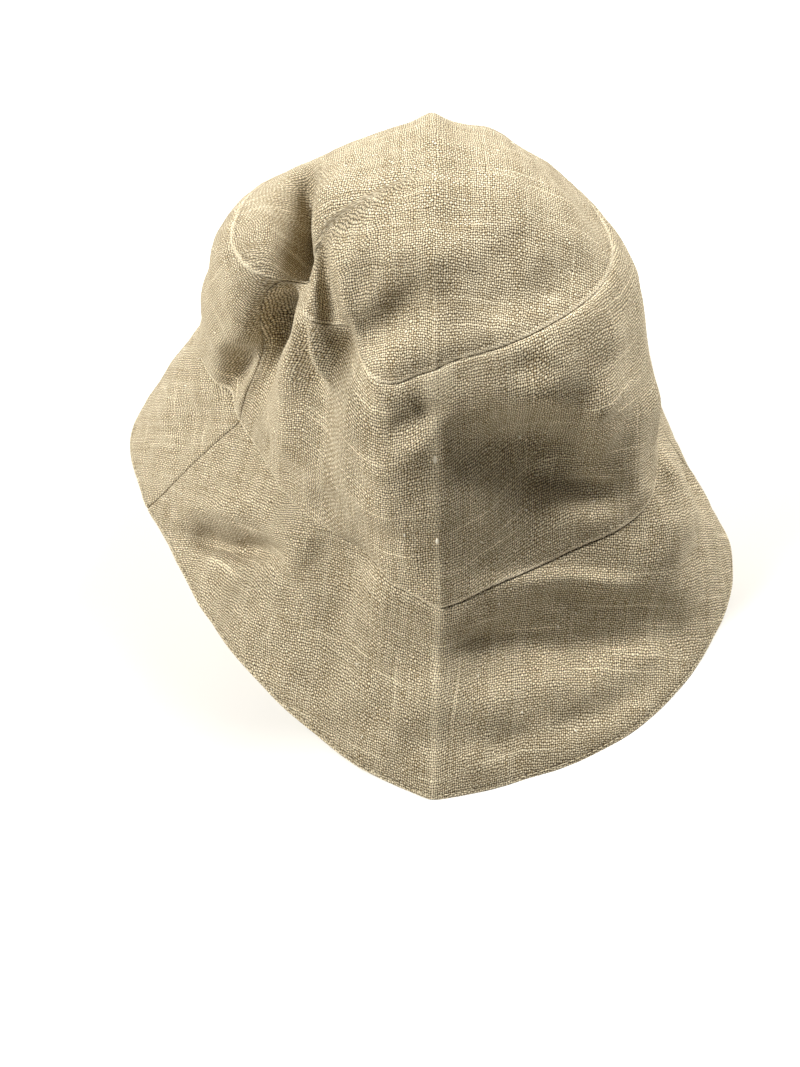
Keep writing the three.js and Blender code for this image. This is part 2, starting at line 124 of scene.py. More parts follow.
# Sharper folds that the solids leave out, written in the same way. They push the folded form.
CLOTH_FOLDS = {
    "valley depth": (6, ((-51, 61, 147, 2, 1, -3), (-52, 52, 143, 5, 4, -8), (-53, 44, 138, 7, 6, -12),
        (-53, 34, 132, 8, 6, -13), (-52, 26, 129, 8, 7, -12), (-50, 18, 127, 6, 7, -7))),
    "valley lip": (4, ((-45, 58, 147, 1, 0, 2), (-45, 46, 143, 1, 0, 3), (-44, 36, 140, 1, 0, 4),
        (-43, 26, 137, 0, 0, 5), (-43, 14, 134, 0, 0, 4), (-44, 3, 133, 0, -1, 2))),
    "strip hollow": (4, ((-42, 26, 142, 1, 0, -1), (-41, 18, 138, 1, 1, -3), (-40, 5, 132, 1, 1, -4),
        (-38, -4, 127, 1, 2, -2))),
    "bulge line": (3.5, ((-37, 23, 146, -1, 0, 1), (-35, 15, 142, -1, 0, 2), (-32, 4, 137, -1, -1, 2),
        (-30, -4, 131, -1, -2, 2), (-27, -14, 128, -1, -1, 2))),
    "under lobe": (8, ((-54, 15, 122, 3, 10, 0), (-57, 13, 110, 4, 12, 0), (-60, 8, 98, 5, 10, 0),
        (-64, 4, 86, 4, 5, 0), (-66, 0, 76, 2, 2, 0))),
    "left band fold": (5, ((-84, 20, 59, 2, 3, 0), (-81, 20, 68, 4, 5, 0), (-77, 17, 83, 4, 5, 0),
        (-71, 13, 97, 2, 3, 0))),
    "strip side": (5, ((-49, 7, 129, 3, 3, -1), (-50, -1, 131, 5, 3, -2), (-51, -7, 124, 6, 5, -1),
        (-50, -11, 117, 6, 6, -1), (-46, -15, 111, 4, 5, 0), (-43, -17, 105, 2, 3, 0))),
    "left band edge": (4, ((-76, 12, 64, -2, -2, 1), (-72, 12, 78, -2, -2, 0), (-68, 10, 92, -1, -2, 0))),
    "recess valley": (5.5, ((-34, -6, 127, 2, 4, -2), (-33, -13, 124, 3, 6, -3), (-30, -21, 123, 4, 7, -4),
        (-27, -27, 119, 3, 6, -3), (-25, -31, 113, 1, 3, 0))),
    "recess ridge": (4, ((-47, -4, 129, -1, -2, 1), (-43, -12, 122, -1, -2, 1), (-38, -18, 115, -1, -2, 1),
        (-35, -23, 108, -1, -1, 0))),
    "recess smudge": (6, ((-59, -15, 91, 1, 1, 0), (-50, -20, 97, 1, 2, 0), (-42, -22, 101, 1, 2, 0))),
    "small slit": (2.4, ((-66, -10, 70, 2, 1, 0), (-65, -12, 62, 2, 1, 0))),
    "spur": (5, ((-1, -39, 111, 0, -2, 1), (-10, -43, 105, 0, -1, 1), (-20, -45, 101, 0, -1, 1))),
    "pocket depth": (4.5, ((-11, -35, 116, 0, 2, -1), (-4, -36, 115, 0, 5, -2), (3, -35, 114, 0, 3, -1))),
    "pocket fill": (6, ((-28, -31, 110, 0, -2, 0), (-18, -37, 109, 0, -5, 0), (-8, -41, 106, 0, -5, 0),
        (-1, -43, 103, 0, -3, 0))),
    "front swell": (14, ((-2, -54, 84, 0, -6, 0), (-14, -53, 84, 0, -6, 0), (-28, -48, 84, 0, -4, 0))),
    "right depth": (12, ((12, -41, 98, 0, 3, 0), (24, -39, 92, 0, 6, 0), (38, -36, 86, 0, 7, -1),
        (52, -34, 78, -1, 5, -1))),
    "right fold": (6, ((24, -42, 90, 0, 2, 0), (33, -43, 82, 0, 4, -1), (44, -42, 74, -1, 5, -2),
        (55, -40, 69, -1, 6, -3), (66, -38, 66, -1, 6, -3), (77, -34, 64, -1, 3, -1))),
    "right ridge": (8, ((66, -14, 108, 0, -4, 3), (62, -24, 98, 0, -7, 3), (62, -29, 87, 0, -6, 3),
        (62, -32, 77, 0, -3, 2))),
    "right shoulder": (13, ((2, -18, 127, 0, -2, 4), (20, -16, 128, 0, -4, 6), (40, -12, 128, 0, -4, 6),
        (58, -3, 128, 0, -3, 5), (70, 10, 128, 0, -1, 2))),
    "right fill": (7, ((30, -22, 114, 0, -3, 3), (48, -17, 115, 0, -4, 4), (62, -9, 113, 0, -3, 3))),
    "right upper": (10, ((6, -31, 116, 0, -1, 2), (18, -30, 115, 0, -3, 4), (40, -27, 110, 0, -6, 5),
        (60, -21, 104, 0, -7, 6), (72, -13, 99, 1, -3, 3))),
    "brim ridge": (6, ((12, -74, 51, 0, -1, 2), (28, -67, 50, 0, -2, 4), (50, -62, 43, 0, -3, 6),
        (62, -61, 39, 0, -2, 6), (76, -60, 34, 0, -2, 5), (92, -56, 29, 0, -1, 3),
        (101, -53, 25, 0, -1, 1))),
    "brim valley": (7, ((12, -88, 40, 0, 1, -2), (27, -84, 39, 0, 1, -4), (51, -79, 33, 0, 2, -4),
        (76, -75, 25, 0, 2, -4), (97, -69, 15, 0, 2, -3), (109, -59, 9, 0, 1, -1))),
    "right brim swell": (10, ((94, -28, 48, 2, -1, 5), (97, -40, 40, 3, -2, 7), (95, -50, 34, 2, -2, 6))),
    "brim flare": (14, ((-80, -40, 24, 1, 1, -2), (-55, -62, 30, 1, 2, -4), (-25, -84, 34, 0, 3, -6),
        (10, -92, 34, 0, 3, -8), (45, -85, 31, 0, 3, -8), (78, -77, 23, 0, 2, -6),
        (104, -60, 11, 0, 1, -2))),
    "brim sweep": (10, ((-58, -80, 14, 0, 0, -2), (-25, -104, 14, 0, 0, -3), (10, -114, 13, 0, 0, -4),
        (46, -106, 11, 0, 0, -5), (84, -93, 7, 0, 0, -6), (106, -72, 5, 0, 0, -4),
        (118, -50, 4, 0, 0, -2))),
    "crown side right": (12, ((54, 58, 138, -2, 0, -2), (62, 50, 134, -3, 0, -3), (67, 38, 134, -3, 0, -2),
        (72, 28, 131, -1, 0, -1))),
    "right waist": (10, ((97, 15, 52, -2, 0, 0), (105, 6, 40, -2.5, 0, 0), (114, 3, 23, -2, 0, 0))),
    "left waist": (10, ((-115, 53, 35, 1.5, 0, 0), (-129, 46, 12, 2, 0, 0))),
    "brim tip": (14, ((-16, -131, 0, 0, -2, 0), (0, -134, 0, 0, -2.5, 0), (22, -129, 0, 0, -2, 0))),
    "brim corner": (10, ((-123, -2, 0, -2.5, 0, 0), (-124, 14, 0, -2.5, 0, 0))),
    "far ridge": (4, ((95, -10, 53, 1, -1, 2), (97, -19, 50, 1, -1, 2), (98, -29, 44, 1, -1, 2))),
    "far fill": (6, ((100, -20, 48, 0, 0, 3), (103, -30, 42, 0, 0, 3), (104, -36, 37, 0, 0, 2))),
    "left valley low": (5, ((-113, -12, 5, 1, 1, -2), (-97, -20, 13, 1, 4, -7), (-83, -29, 21, 1, 4, -9),
        (-69, -39, 33, 1, 4, -7), (-60, -46, 38, 0, 2, -4))),
    "left ridge low": (5, ((-109, -5, 13, 0, 0, 1), (-92, -15, 27, -1, -1, 1), (-74, -26, 41, -1, -1, 1))),
    "dent at seam": (5, ((-47, -46, 47, 0, 2, -1), (-33, -51, 49, 0, 2, -1), (-22, -58, 53, 0, 1, -1))),
    "tip hollow depth": (9, ((2, -6, 141, 0, 3, -3), (-7, -8, 138, 0, 5, -5), (-15, -11, 135, 0, 4, -5),
        (-23, -14, 130, 0, 4, -5), (-28, -18, 126, 0, 4, -4))),
}

# The clearest lumps of thread on the photo: turn, station, length and radius.
NUBS = (
    (0, 1.34, 3.4, 0.8), (0, 1.69, 2.8, 0.65), (26, 1.48, 1.8, 0.45), (50, 1.97, 1.4, 0.45),
    (35, 2.28, 1.6, 0.5), (30, 2.30, 1.8, 0.5), (18, 2.33, 3.6, 0.5), (16, 2.09, 1.2, 0.4),
    (-9, 1.68, 1.8, 0.4), (-25, 1.95, 2.2, 0.35), (10, 1.63, 1.6, 0.35), (-42, 1.40, 1.4, 0.35),
)


class Panel(enum.Enum):
    """The pieces of cloth, each with the name of the node that it stands for."""

    CROWN_TIP = "crown_tip"
    BAND_FRONT = "band_front"
    BAND_BACK = "band_back"
    BRIM_FRONT = "brim_front"
    BRIM_BACK = "brim_back"


# Each panel as it is cut: the sides of its box in metres and its area in square metres.
FLAT_SIZES = {
    Panel.CROWN_TIP: ((0.160, 0.150), 0.018),
    Panel.BAND_FRONT: ((0.29, 0.09), 0.0204),
    Panel.BAND_BACK: ((0.29, 0.09), 0.0194),
    Panel.BRIM_FRONT: ((0.366, 0.129), 0.0255),
    Panel.BRIM_BACK: ((0.366, 0.129), 0.0255),
}


class Edge(enum.Enum):
    """How a panel ends at its upper or lower border."""

    POLE = "closes in one point"
    ROLLED = "lies over its neighbour with a rounded edge"
    TUCKED = "starts below its neighbour"
    HEM = "ends free, turned in and stitched"


def smooth_step(low: float, high: float, value: Array) -> Array:
    """Rises from 0 at low to 1 at high along a cubic with level ends."""
    share = np.clip((value - low) / (high - low), 0, 1)
    return share * share * (3 - 2 * share)


def bell(value: Array, middle: float, width: float) -> Array:
    """Gives a bump that is 1 at its middle and falls off as exp(-((value - middle) / width)^2)."""
    return np.exp(-(((value - middle) / width) ** 2))


def unit(vectors: Array) -> Array:
    """Gives the vectors at length one, and leaves a vector of no length as it is."""
    return vectors / np.maximum(np.linalg.norm(vectors, axis=-1, keepdims=True), TINY)


def run_lengths(points: Array, axis: int) -> Array:
    """Gives the length run along one axis of a grid of points, from 0 at its start."""
    steps = np.linalg.norm(np.diff(points, axis=axis), axis=-1)
    return np.concatenate([np.zeros_like(steps.take([0], axis)), steps.cumsum(axis)], axis)


@dataclass(frozen=True)
class Ring:
    """One ring of the hat: its middle, the sway of its side seams and its crease, in mm."""

    x: float
    y: float
    left_shift: float
    right_shift: float
    crease_height: float
    crease_width: float
    rounding: float


@dataclass(frozen=True)
class HatForm:
    """The smooth outer face of the hat, a surface over turn and station, in millimetres."""

    rings: dict[str, Ring] = field(default_factory=lambda: {
        "crown": Ring(0, 40, 23, 7, 3.5, 7, 1.4),
        "base": Ring(3, 8, 1, 3, 5, 8, 2.1),
        "brim": Ring(0, -8, -6, 6, 3.5, 9, 2.8),
    })
    tip_middle: Triple = (2, 46, 158)
    plan_power: float = 0.93
    drop_power: float = 2.4
    wave_power: float = 7
    calm_order: int = 8
    calm_step: float = 7
    band_belly: float = 5
    belly_power: float = 0.6
    brim_belly: float = 1.5
    rest_from: float = 2.72
    fold_samples: int = 6
    turn_step: float = 1
    station_step: float = 0.03
    footprint_shift: Triple = (2, 6, 0)

    def section_value(self, turn: Array, column: str) -> Array:
        """Gives a smooth periodic curve through one column of the sections.

        Between two rows it is the cubic with the rows' values and slopes. A row's slope is the
        mean of the slopes to both neighbours, weighted towards the nearer one.

        Args:
            turn: Turns in degrees.
            column: One of SECTION_COLUMNS.

        Returns:
            The values at those turns.
        """
        table = np.array(SECTIONS, float)
        places, values = table[:, 0], table[:, SECTION_COLUMNS.index(column)]
        places = np.concatenate([places[-1:] - 360, places, places[:2] + 360])
        values = np.concatenate([values[-1:], values, values[:2]])
        gaps = np.diff(places)
        rises = np.diff(values) / gaps
        slopes = (rises[:-1] * gaps[1:] + rises[1:] * gaps[:-1]) / (gaps[:-1] + gaps[1:])
        places, values = places[1:-1], values[1:-1]
        place = (turn - places[0]) % 360 + places[0]
        row = np.clip(np.searchsorted(places, place, side="right") - 1, 0, len(places) - 2)
        span = places[row + 1] - places[row]
        u = (place - places[row]) / span
        return ((2 * u**3 - 3 * u**2 + 1) * values[row]
                + (u**3 - 2 * u**2 + u) * span * slopes[row]
                + (3 * u**2 - 2 * u**3) * values[row + 1]
                + (u**3 - u**2) * span * slopes[row + 1])

    def crease_distance(self, turn: Array, reach: Array) -> Array:
        """Gives the arc from the nearest of the front and back creases, in mm."""
        return np.radians((turn + 90) % 180 - 90) * reach

    def ring_point(self, name: str, turn: Array) -> Array:
        """Gives points of a ring, with the crease standing out at the front and the back.

        Args:
            name: The ring's name.
            turn: Turns in degrees.

        Returns:
            Points, with x, y and z in the last axis.
        """
        ring = self.rings[name]
        wrapped = (turn + 180) % 360 - 180
        shift = np.where(wrapped < 0, ring.left_shift, ring.right_shift)
        heading = turn + shift * np.sin(np.radians(turn)) ** 2
        reach = self.section_value(heading, f"{name}_reach")
        height = np.zeros_like(reach) if name == "brim" else self.section_value(heading, f"{name}_height")
        from_crease = np.hypot(self.crease_distance(turn, reach), ring.rounding)
        reach = reach + ring.crease_height * np.exp(-from_crease / ring.crease_width)
        angle = np.radians(heading)
        return np.stack([ring.x + reach * np.sin(angle), ring.y - reach * np.cos(angle), height], -1)

    def calm_crown(self, turn: Array) -> Array:
        """Gives the crown seam without its waves: a mean of neighbours with binomial weights."""
        order = self.calm_order
        return sum(math.comb(order, k) / 2**order
                   * self.ring_point("crown", turn + (k - order // 2) * self.calm_step)
                   for k in range(order + 1))

    @staticmethod
    def away_from(run: Array, outward: Array) -> Array:
        """Gives the unit direction square to a slope that leans outwards."""
        along = (outward * run).sum(-1, keepdims=True) / (run * run).sum(-1, keepdims=True)
        return unit(outward - run * along)

    def tip_point(self, turn: Array, share: Array) -> Array:
        """Gives the top panel: a dome over the calm seam, with the seam's waves dying inwards."""
        seam, calm = self.ring_point("crown", turn), self.calm_crown(turn)
        middle = np.array(self.tip_middle, float)
        grow = np.stack([share**self.plan_power, share**self.plan_power, share**self.drop_power], -1)
        return middle + (calm - middle) * grow + (seam - calm) * (share**self.wave_power)[..., None]

    def wall_point(self, upper: str, lower: str, turn: Array, share: Array,
                   middle: Pair, belly: Array) -> Array:
        """Gives a wall between two rings: straight slopes, with a belly square to them.

        Args:
            upper: The ring that the wall starts on.
            lower: The ring that it ends on.
            turn: Turns in degrees.
            share: How far down the wall, from 0 to 1.
            middle: The plan point that the belly leans away from.
            belly: How far the wall stands out.

        Returns:
            Points, with x, y and z in the last axis.
        """
        start = self.ring_point(upper, turn)
        run = self.ring_point(lower, turn) - start
        outward = start - np.array([*middle, 0.0])
        outward[..., 2] = 0
        return start + run * share[..., None] + self.away_from(run, unit(outward)) * belly[..., None]

    def calm_point(self, turn: Array, station: Array) -> Array:
        """Gives the hat before its folds: the top panel, the side band or the brim by station."""
        tip = self.tip_point(turn, np.clip(station, 0, 1))
        share = np.clip(station - 1, 0, 1)
        belly = self.band_belly * np.sin(np.pi * share**self.belly_power)
        band = self.wall_point("crown", "base", turn, share, self.tip_middle[:2], belly)
        share = np.clip(station - 2, 0, 1)
        base = self.rings["base"]
        belly = self.brim_belly * np.sin(np.pi * share)
        brim = self.wall_point("base", "brim", turn, share, (base.x, base.y), belly)
        place = station[..., None]
        return np.where(place <= 1, tip, np.where(place <= 2, band, brim))

    def fold_push(self, points: Array, folds: dict[str, tuple]) -> Array:
        """Gives what a set of folds adds: soft round pushes spread evenly along each line.

        Each piece of a line pushes by its share of the length times exp(-(gap / width)^2).

        Args:
            points: Points of the form that the folds were measured on.
            folds: FOLDS or CLOTH_FOLDS.

        Returns:
            A push for each point.
        """
        centres, pushes, weights, widths = [], [], [], []
        shares = (np.arange(self.fold_samples) + 0.5)[:, None] / self.fold_samples
        for width, stops in folds.values():
            for start, end in zip(np.array(stops[:-1], float), np.array(stops[1:], float)):
                samples = start + (end - start) * shares
                length = np.linalg.norm((end - start)[:3])
                weight = length / self.fold_samples / (math.sqrt(math.pi) * width)
                centres.append(samples[:, :3])
                pushes.append(samples[:, 3:])
                weights += [weight] * self.fold_samples
                widths += [width] * self.fold_samples
        centres, pushes = np.concatenate(centres), np.concatenate(pushes)
        flat = points.reshape(-1, 3)
        gaps = (flat**2).sum(1)[:, None] + (centres**2).sum(1) - 2 * flat @ centres.T
        pull = np.array(weights) * np.exp(-gaps / np.array(widths) ** 2)
        return (pull @ pushes).reshape(points.shape)

    def outer(self, turn: Array, station: Array) -> Array:
        """Gives the outer face: the calm form plus its folds, which leave the brim edge flat."""
        point = self.calm_point(turn, station)
        free = 1 - smooth_step(self.rest_from, LAST_STATION, station)
        for folds in (FOLDS, CLOTH_FOLDS):
            push = self.fold_push(point, folds)
            push[..., 2] *= free
            point = point + push
        return point + np.array(self.footprint_shift, float)

    def normal(self, turn: Array, station: Array) -> Array:
        """Gives the unit direction out of the cloth, from the slopes round and down the hat."""
        ahead = self.outer(turn + self.turn_step, station)
        behind = self.outer(turn - self.turn_step, station)
        below = self.outer(turn, np.minimum(station + self.station_step, LAST_STATION))
        above = self.outer(turn, np.maximum(station - self.station_step, 0))
        return unit(np.cross(below - above, ahead - behind))


@dataclass
class Places:
    """Where the points of one panel lie, as arrays over its columns and rows, in mm."""

    turn: Array
    station: Array
    point: Array
    normal: Array
    from_top: Array
    to_bottom: Array
    to_side: Array
    to_crease: Array
    along: Array


@dataclass(frozen=True)
class Crumple:
    """Small wrinkles all over the cloth: bent sine waves with random headings, in mm."""

    seed: int = 11
    waves: int = 22
    height: float = 0.42
    shortest: float = 11
    longest: float = 34
    bend: float = 1.7
    bend_length: float = 2.6

    def height_at(self, points: Array) -> Array:
        """Adds up waves that grow with their length, each bent sideways by a slower wave.

        Args:
            points: Points of the smooth form.

        Returns:
            A height for each point.
        """
        random = np.random.default_rng(self.seed)
        total = np.zeros(points.shape[:-1])
        for length in np.geomspace(self.shortest, self.longest, self.waves):
            heading, swing = unit(random.normal(size=(2, 3)))
            phase, swing_phase = random.uniform(0, 2 * math.pi, 2)
            bend_pace = 2 * math.pi / (self.bend_length * length)
            bent = self.bend * np.sin(bend_pace * (points @ swing) + swing_phase)
            total += length / self.longest * np.sin(2 * math.pi / length * (points @ heading) + phase + bent)
        return 2 * self.height * total / math.sqrt(self.waves)


@dataclass(frozen=True)
class SeamRelief:
    """How seams lift, sink and pucker the cloth beside them, in mm, with turns in degrees."""

    roll_height: float = 0.22
    roll_middle: float = 0.9
    roll_width: float = 0.8
    tuck_reach: float = 1.3
    tuck_lead: float = 0.2
    tuck_start: float = 1.6
    clearance: float = 0.05
    pressed_share: float = 0.3
    brim_groove: float = 0.4
    pressed_reach: float = 3.2
    butt_depth: float = 0.32
    butt_width: float = 0.8
    allowance: float = 8.0
    allowance_height: float = 0.22
    allowance_edge: float = 0.9
    pucker_height: float = 0.12
    pucker_length: float = 8.3
    pucker_reach: float = 6.0
    pucker_drifts: tuple[Triple, ...] = ((2.2, 17.0, 0.0), (1.1, 6.1, 1.0))
    swell: float = 0.4
    swell_length: float = 29.0
    swell_phase: float = 0.7
    stitch_from_edge: float = 1.7
    stitch_sink: float = 0.25
    stitch_width: float = 0.55
    flattened: float = 0.7
    flat_near_crease: Pair = (2, 16)
    flat_near_side: Pair = (-88, -80)

    def stands_out(self, panel: Panel, turn: Array) -> Array:
        """Gives how clearly a long seam shows: the brim seam is pressed flat left of the crease."""
        if panel in (Panel.BAND_FRONT, Panel.BRIM_FRONT):
            flat = smooth_step(*self.flat_near_crease, -turn) * smooth_step(*self.flat_near_side, turn)
            return 1 - self.flattened * flat
        return np.ones_like(turn)

    def roll(self, distance: Array) -> Array:
        """Gives the rounded lift of an edge that lies over its neighbour."""
        return self.roll_height * bell(distance, self.roll_middle, self.roll_width)

    def tuck(self, distance: Array, thickness: float, extra: Array) -> Array:
        """Gives the drop that takes an edge below a neighbour of that thickness, and an extra."""
        depth = thickness * self.pressed_share + self.clearance + extra
        return -depth * (1 - smooth_step(-self.tuck_lead, self.tuck_reach, distance))

    def butt(self, distance: Array) -> Array:
        """Gives the groove along a plain seam."""
        return -self.butt_depth * bell(distance, 0, self.butt_width)

    def imprint(self, distance: Array) -> Array:
        """Gives the low step of the seam allowance below the cloth."""
        inside = 1 - smooth_step(-self.allowance_edge, self.allowance_edge, distance - self.allowance)
        return self.allowance_height * inside

    def pucker(self, distance: Array, along: Array) -> Array:
        """Gives the small gathers along a seam, a sine of uneven pace that dies out beside it."""
        pace = along
        for drift, length, phase in self.pucker_drifts:
            pace = pace + drift * np.sin(along / length + phase)
        wave = np.sin(2 * math.pi * pace / self.pucker_length)
        swell = 1 - self.swell + self.swell * np.sin(along / self.swell_length + self.swell_phase)
        return self.pucker_height * swell * wave * np.exp(-np.abs(distance) / self.pucker_reach)

    def stitch_groove(self, distance: Array) -> Array:
        """Gives the dent that the hem's stitching pulls into the cloth."""
        return -self.stitch_sink * bell(distance, self.stitch_from_edge, self.stitch_width)


Number = Union["Value", float]


class Value:
    """A number given by a node, which Python's operators carry on into Math nodes."""

    def __init__(self, graph: "Graph", socket: Socket) -> None:
        """Keeps the graph and the socket that gives the number."""
        self.graph = graph
        self.socket = socket

    def math(self, operation: str, *others: Number) -> "Value":
        """Adds a Math node of that operation, with this value as its first number."""
        return self.graph.math(operation, self, *others)

    def __add__(self, other: Number) -> "Value":
        """Adds."""
        return self.math("ADD", other)

    __radd__ = __add__

    def __sub__(self, other: Number) -> "Value":
        """Subtracts."""
        return self.math("SUBTRACT", other)

    def __rsub__(self, other: float) -> "Value":
        """Subtracts this value from a number."""
        return self.graph.math("SUBTRACT", other, self)

    def __mul__(self, other: Number) -> "Value":
        """Multiplies."""
        return self.math("MULTIPLY", other)

    __rmul__ = __mul__

    def __pow__(self, power: float) -> "Value":
        """Raises to a power."""
        return self.math("POWER", power)

    def __rpow__(self, base: float) -> "Value":
        """Raises a number to this power."""
        return self.graph.math("POWER", base, self)

    def ridge(self) -> "Value":
        """Gives |sin(pi times the value)|: one rounded ridge for each whole number."""
        return (self * math.pi).math("SINE").math("ABSOLUTE")

    def between(self, low: float, high: float) -> "Value":
        """Rises smoothly from 0 at low to 1 at high."""
        node = self.graph.node("ShaderNodeMapRange", {"interpolation_type": "SMOOTHSTEP"},
                               {"Value": self, "From Min": low, "From Max": high})
        return Value(self.graph, node.outputs["Result"])


class Graph:
    """The node tree of one material."""

    def __init__(self, name: str) -> None:
        """Starts a material with an empty node tree."""
        self.material = bpy.data.materials.new(name)
        self.material.use_nodes = True
        self.tree = self.material.node_tree
        self.tree.nodes.clear()

    def node(self, kind: str, settings: Optional[dict[str, Any]] = None,
             values: Optional[dict[Union[str, int], Any]] = None) -> bpy.types.Node:
        """Makes a node, then sets it and fills its sockets.

        Args:
            kind: The node's type.
            settings: Properties that are set first.
            values: What goes into its inputs, by name or place: a Value, a socket or a constant.

        Returns:
            The node.
        """
        node = self.tree.nodes.new(kind)
        for key, setting in (settings or {}).items():
            setattr(node, key, setting)
        for key, value in (values or {}).items():
            if isinstance(value, Value):
                self.tree.links.new(value.socket, node.inputs[key])
            elif isinstance(value, Socket):
                self.tree.links.new(value, node.inputs[key])
            else:
                node.inputs[key].default_value = value
        return node

    def math(self, operation: str, *numbers: Number) -> Value:
        """Adds a Math node of that operation on those numbers."""
        node = self.node("ShaderNodeMath", {"operation": operation}, dict(enumerate(numbers)))
        return Value(self, node.outputs[0])

    def noise(self, vector: Socket, scale: float, detail: float = 2.0) -> Value:
        """Adds flat noise of a scale, with values about 0.5."""
        node = self.node("ShaderNodeTexNoise", {"noise_dimensions": "2D"},
                         {"Vector": vector, "Scale": scale, "Detail": detail})
        return Value(self, node.outputs["Fac"])

    def swing(self, vector: Socket, scale: float, size: float, detail: float = 2.0) -> Value:
        """Adds flat noise that swings about 0, by up to half its size."""
        return (self.noise(vector, scale, detail) - 0.5) * size

    def vector(self, x: Number, y: Number) -> Socket:
        """Joins two numbers into a flat vector."""
        return self.node("ShaderNodeCombineXYZ", {}, {"X": x, "Y": y}).outputs["Vector"]

    def random(self, x: Number, y: Number) -> Value:
        """Gives a random number from 0 to 1 for each pair of whole numbers."""
        place = self.vector(x, y)
        node = self.node("ShaderNodeTexWhiteNoise", {"noise_dimensions": "2D"}, {"Vector": place})
        return Value(self, node.outputs["Value"])

    def mix(self, factor: Number, low: Any, high: Any) -> Socket:
        """Mixes two colours, each a socket or a constant."""
        fill = [c if isinstance(c, Socket) else (*c, 1.0) for c in (low, high)]
        node = self.node("ShaderNodeMix", {"data_type": "RGBA"}, {0: factor, 6: fill[0], 7: fill[1]})
        return node.outputs[2]

    def attribute(self, name: str) -> Value:
        """Reads a number that the mesh carries."""
        return Value(self, self.node("ShaderNodeAttribute", {"attribute_name": name}).outputs["Fac"])

    def finish(self, shader: bpy.types.Node) -> Finish:
        """Links the shader to the output and gives the material."""
        self.node("ShaderNodeOutputMaterial", {}, {"Surface": shader.outputs[0]})
        return self.material


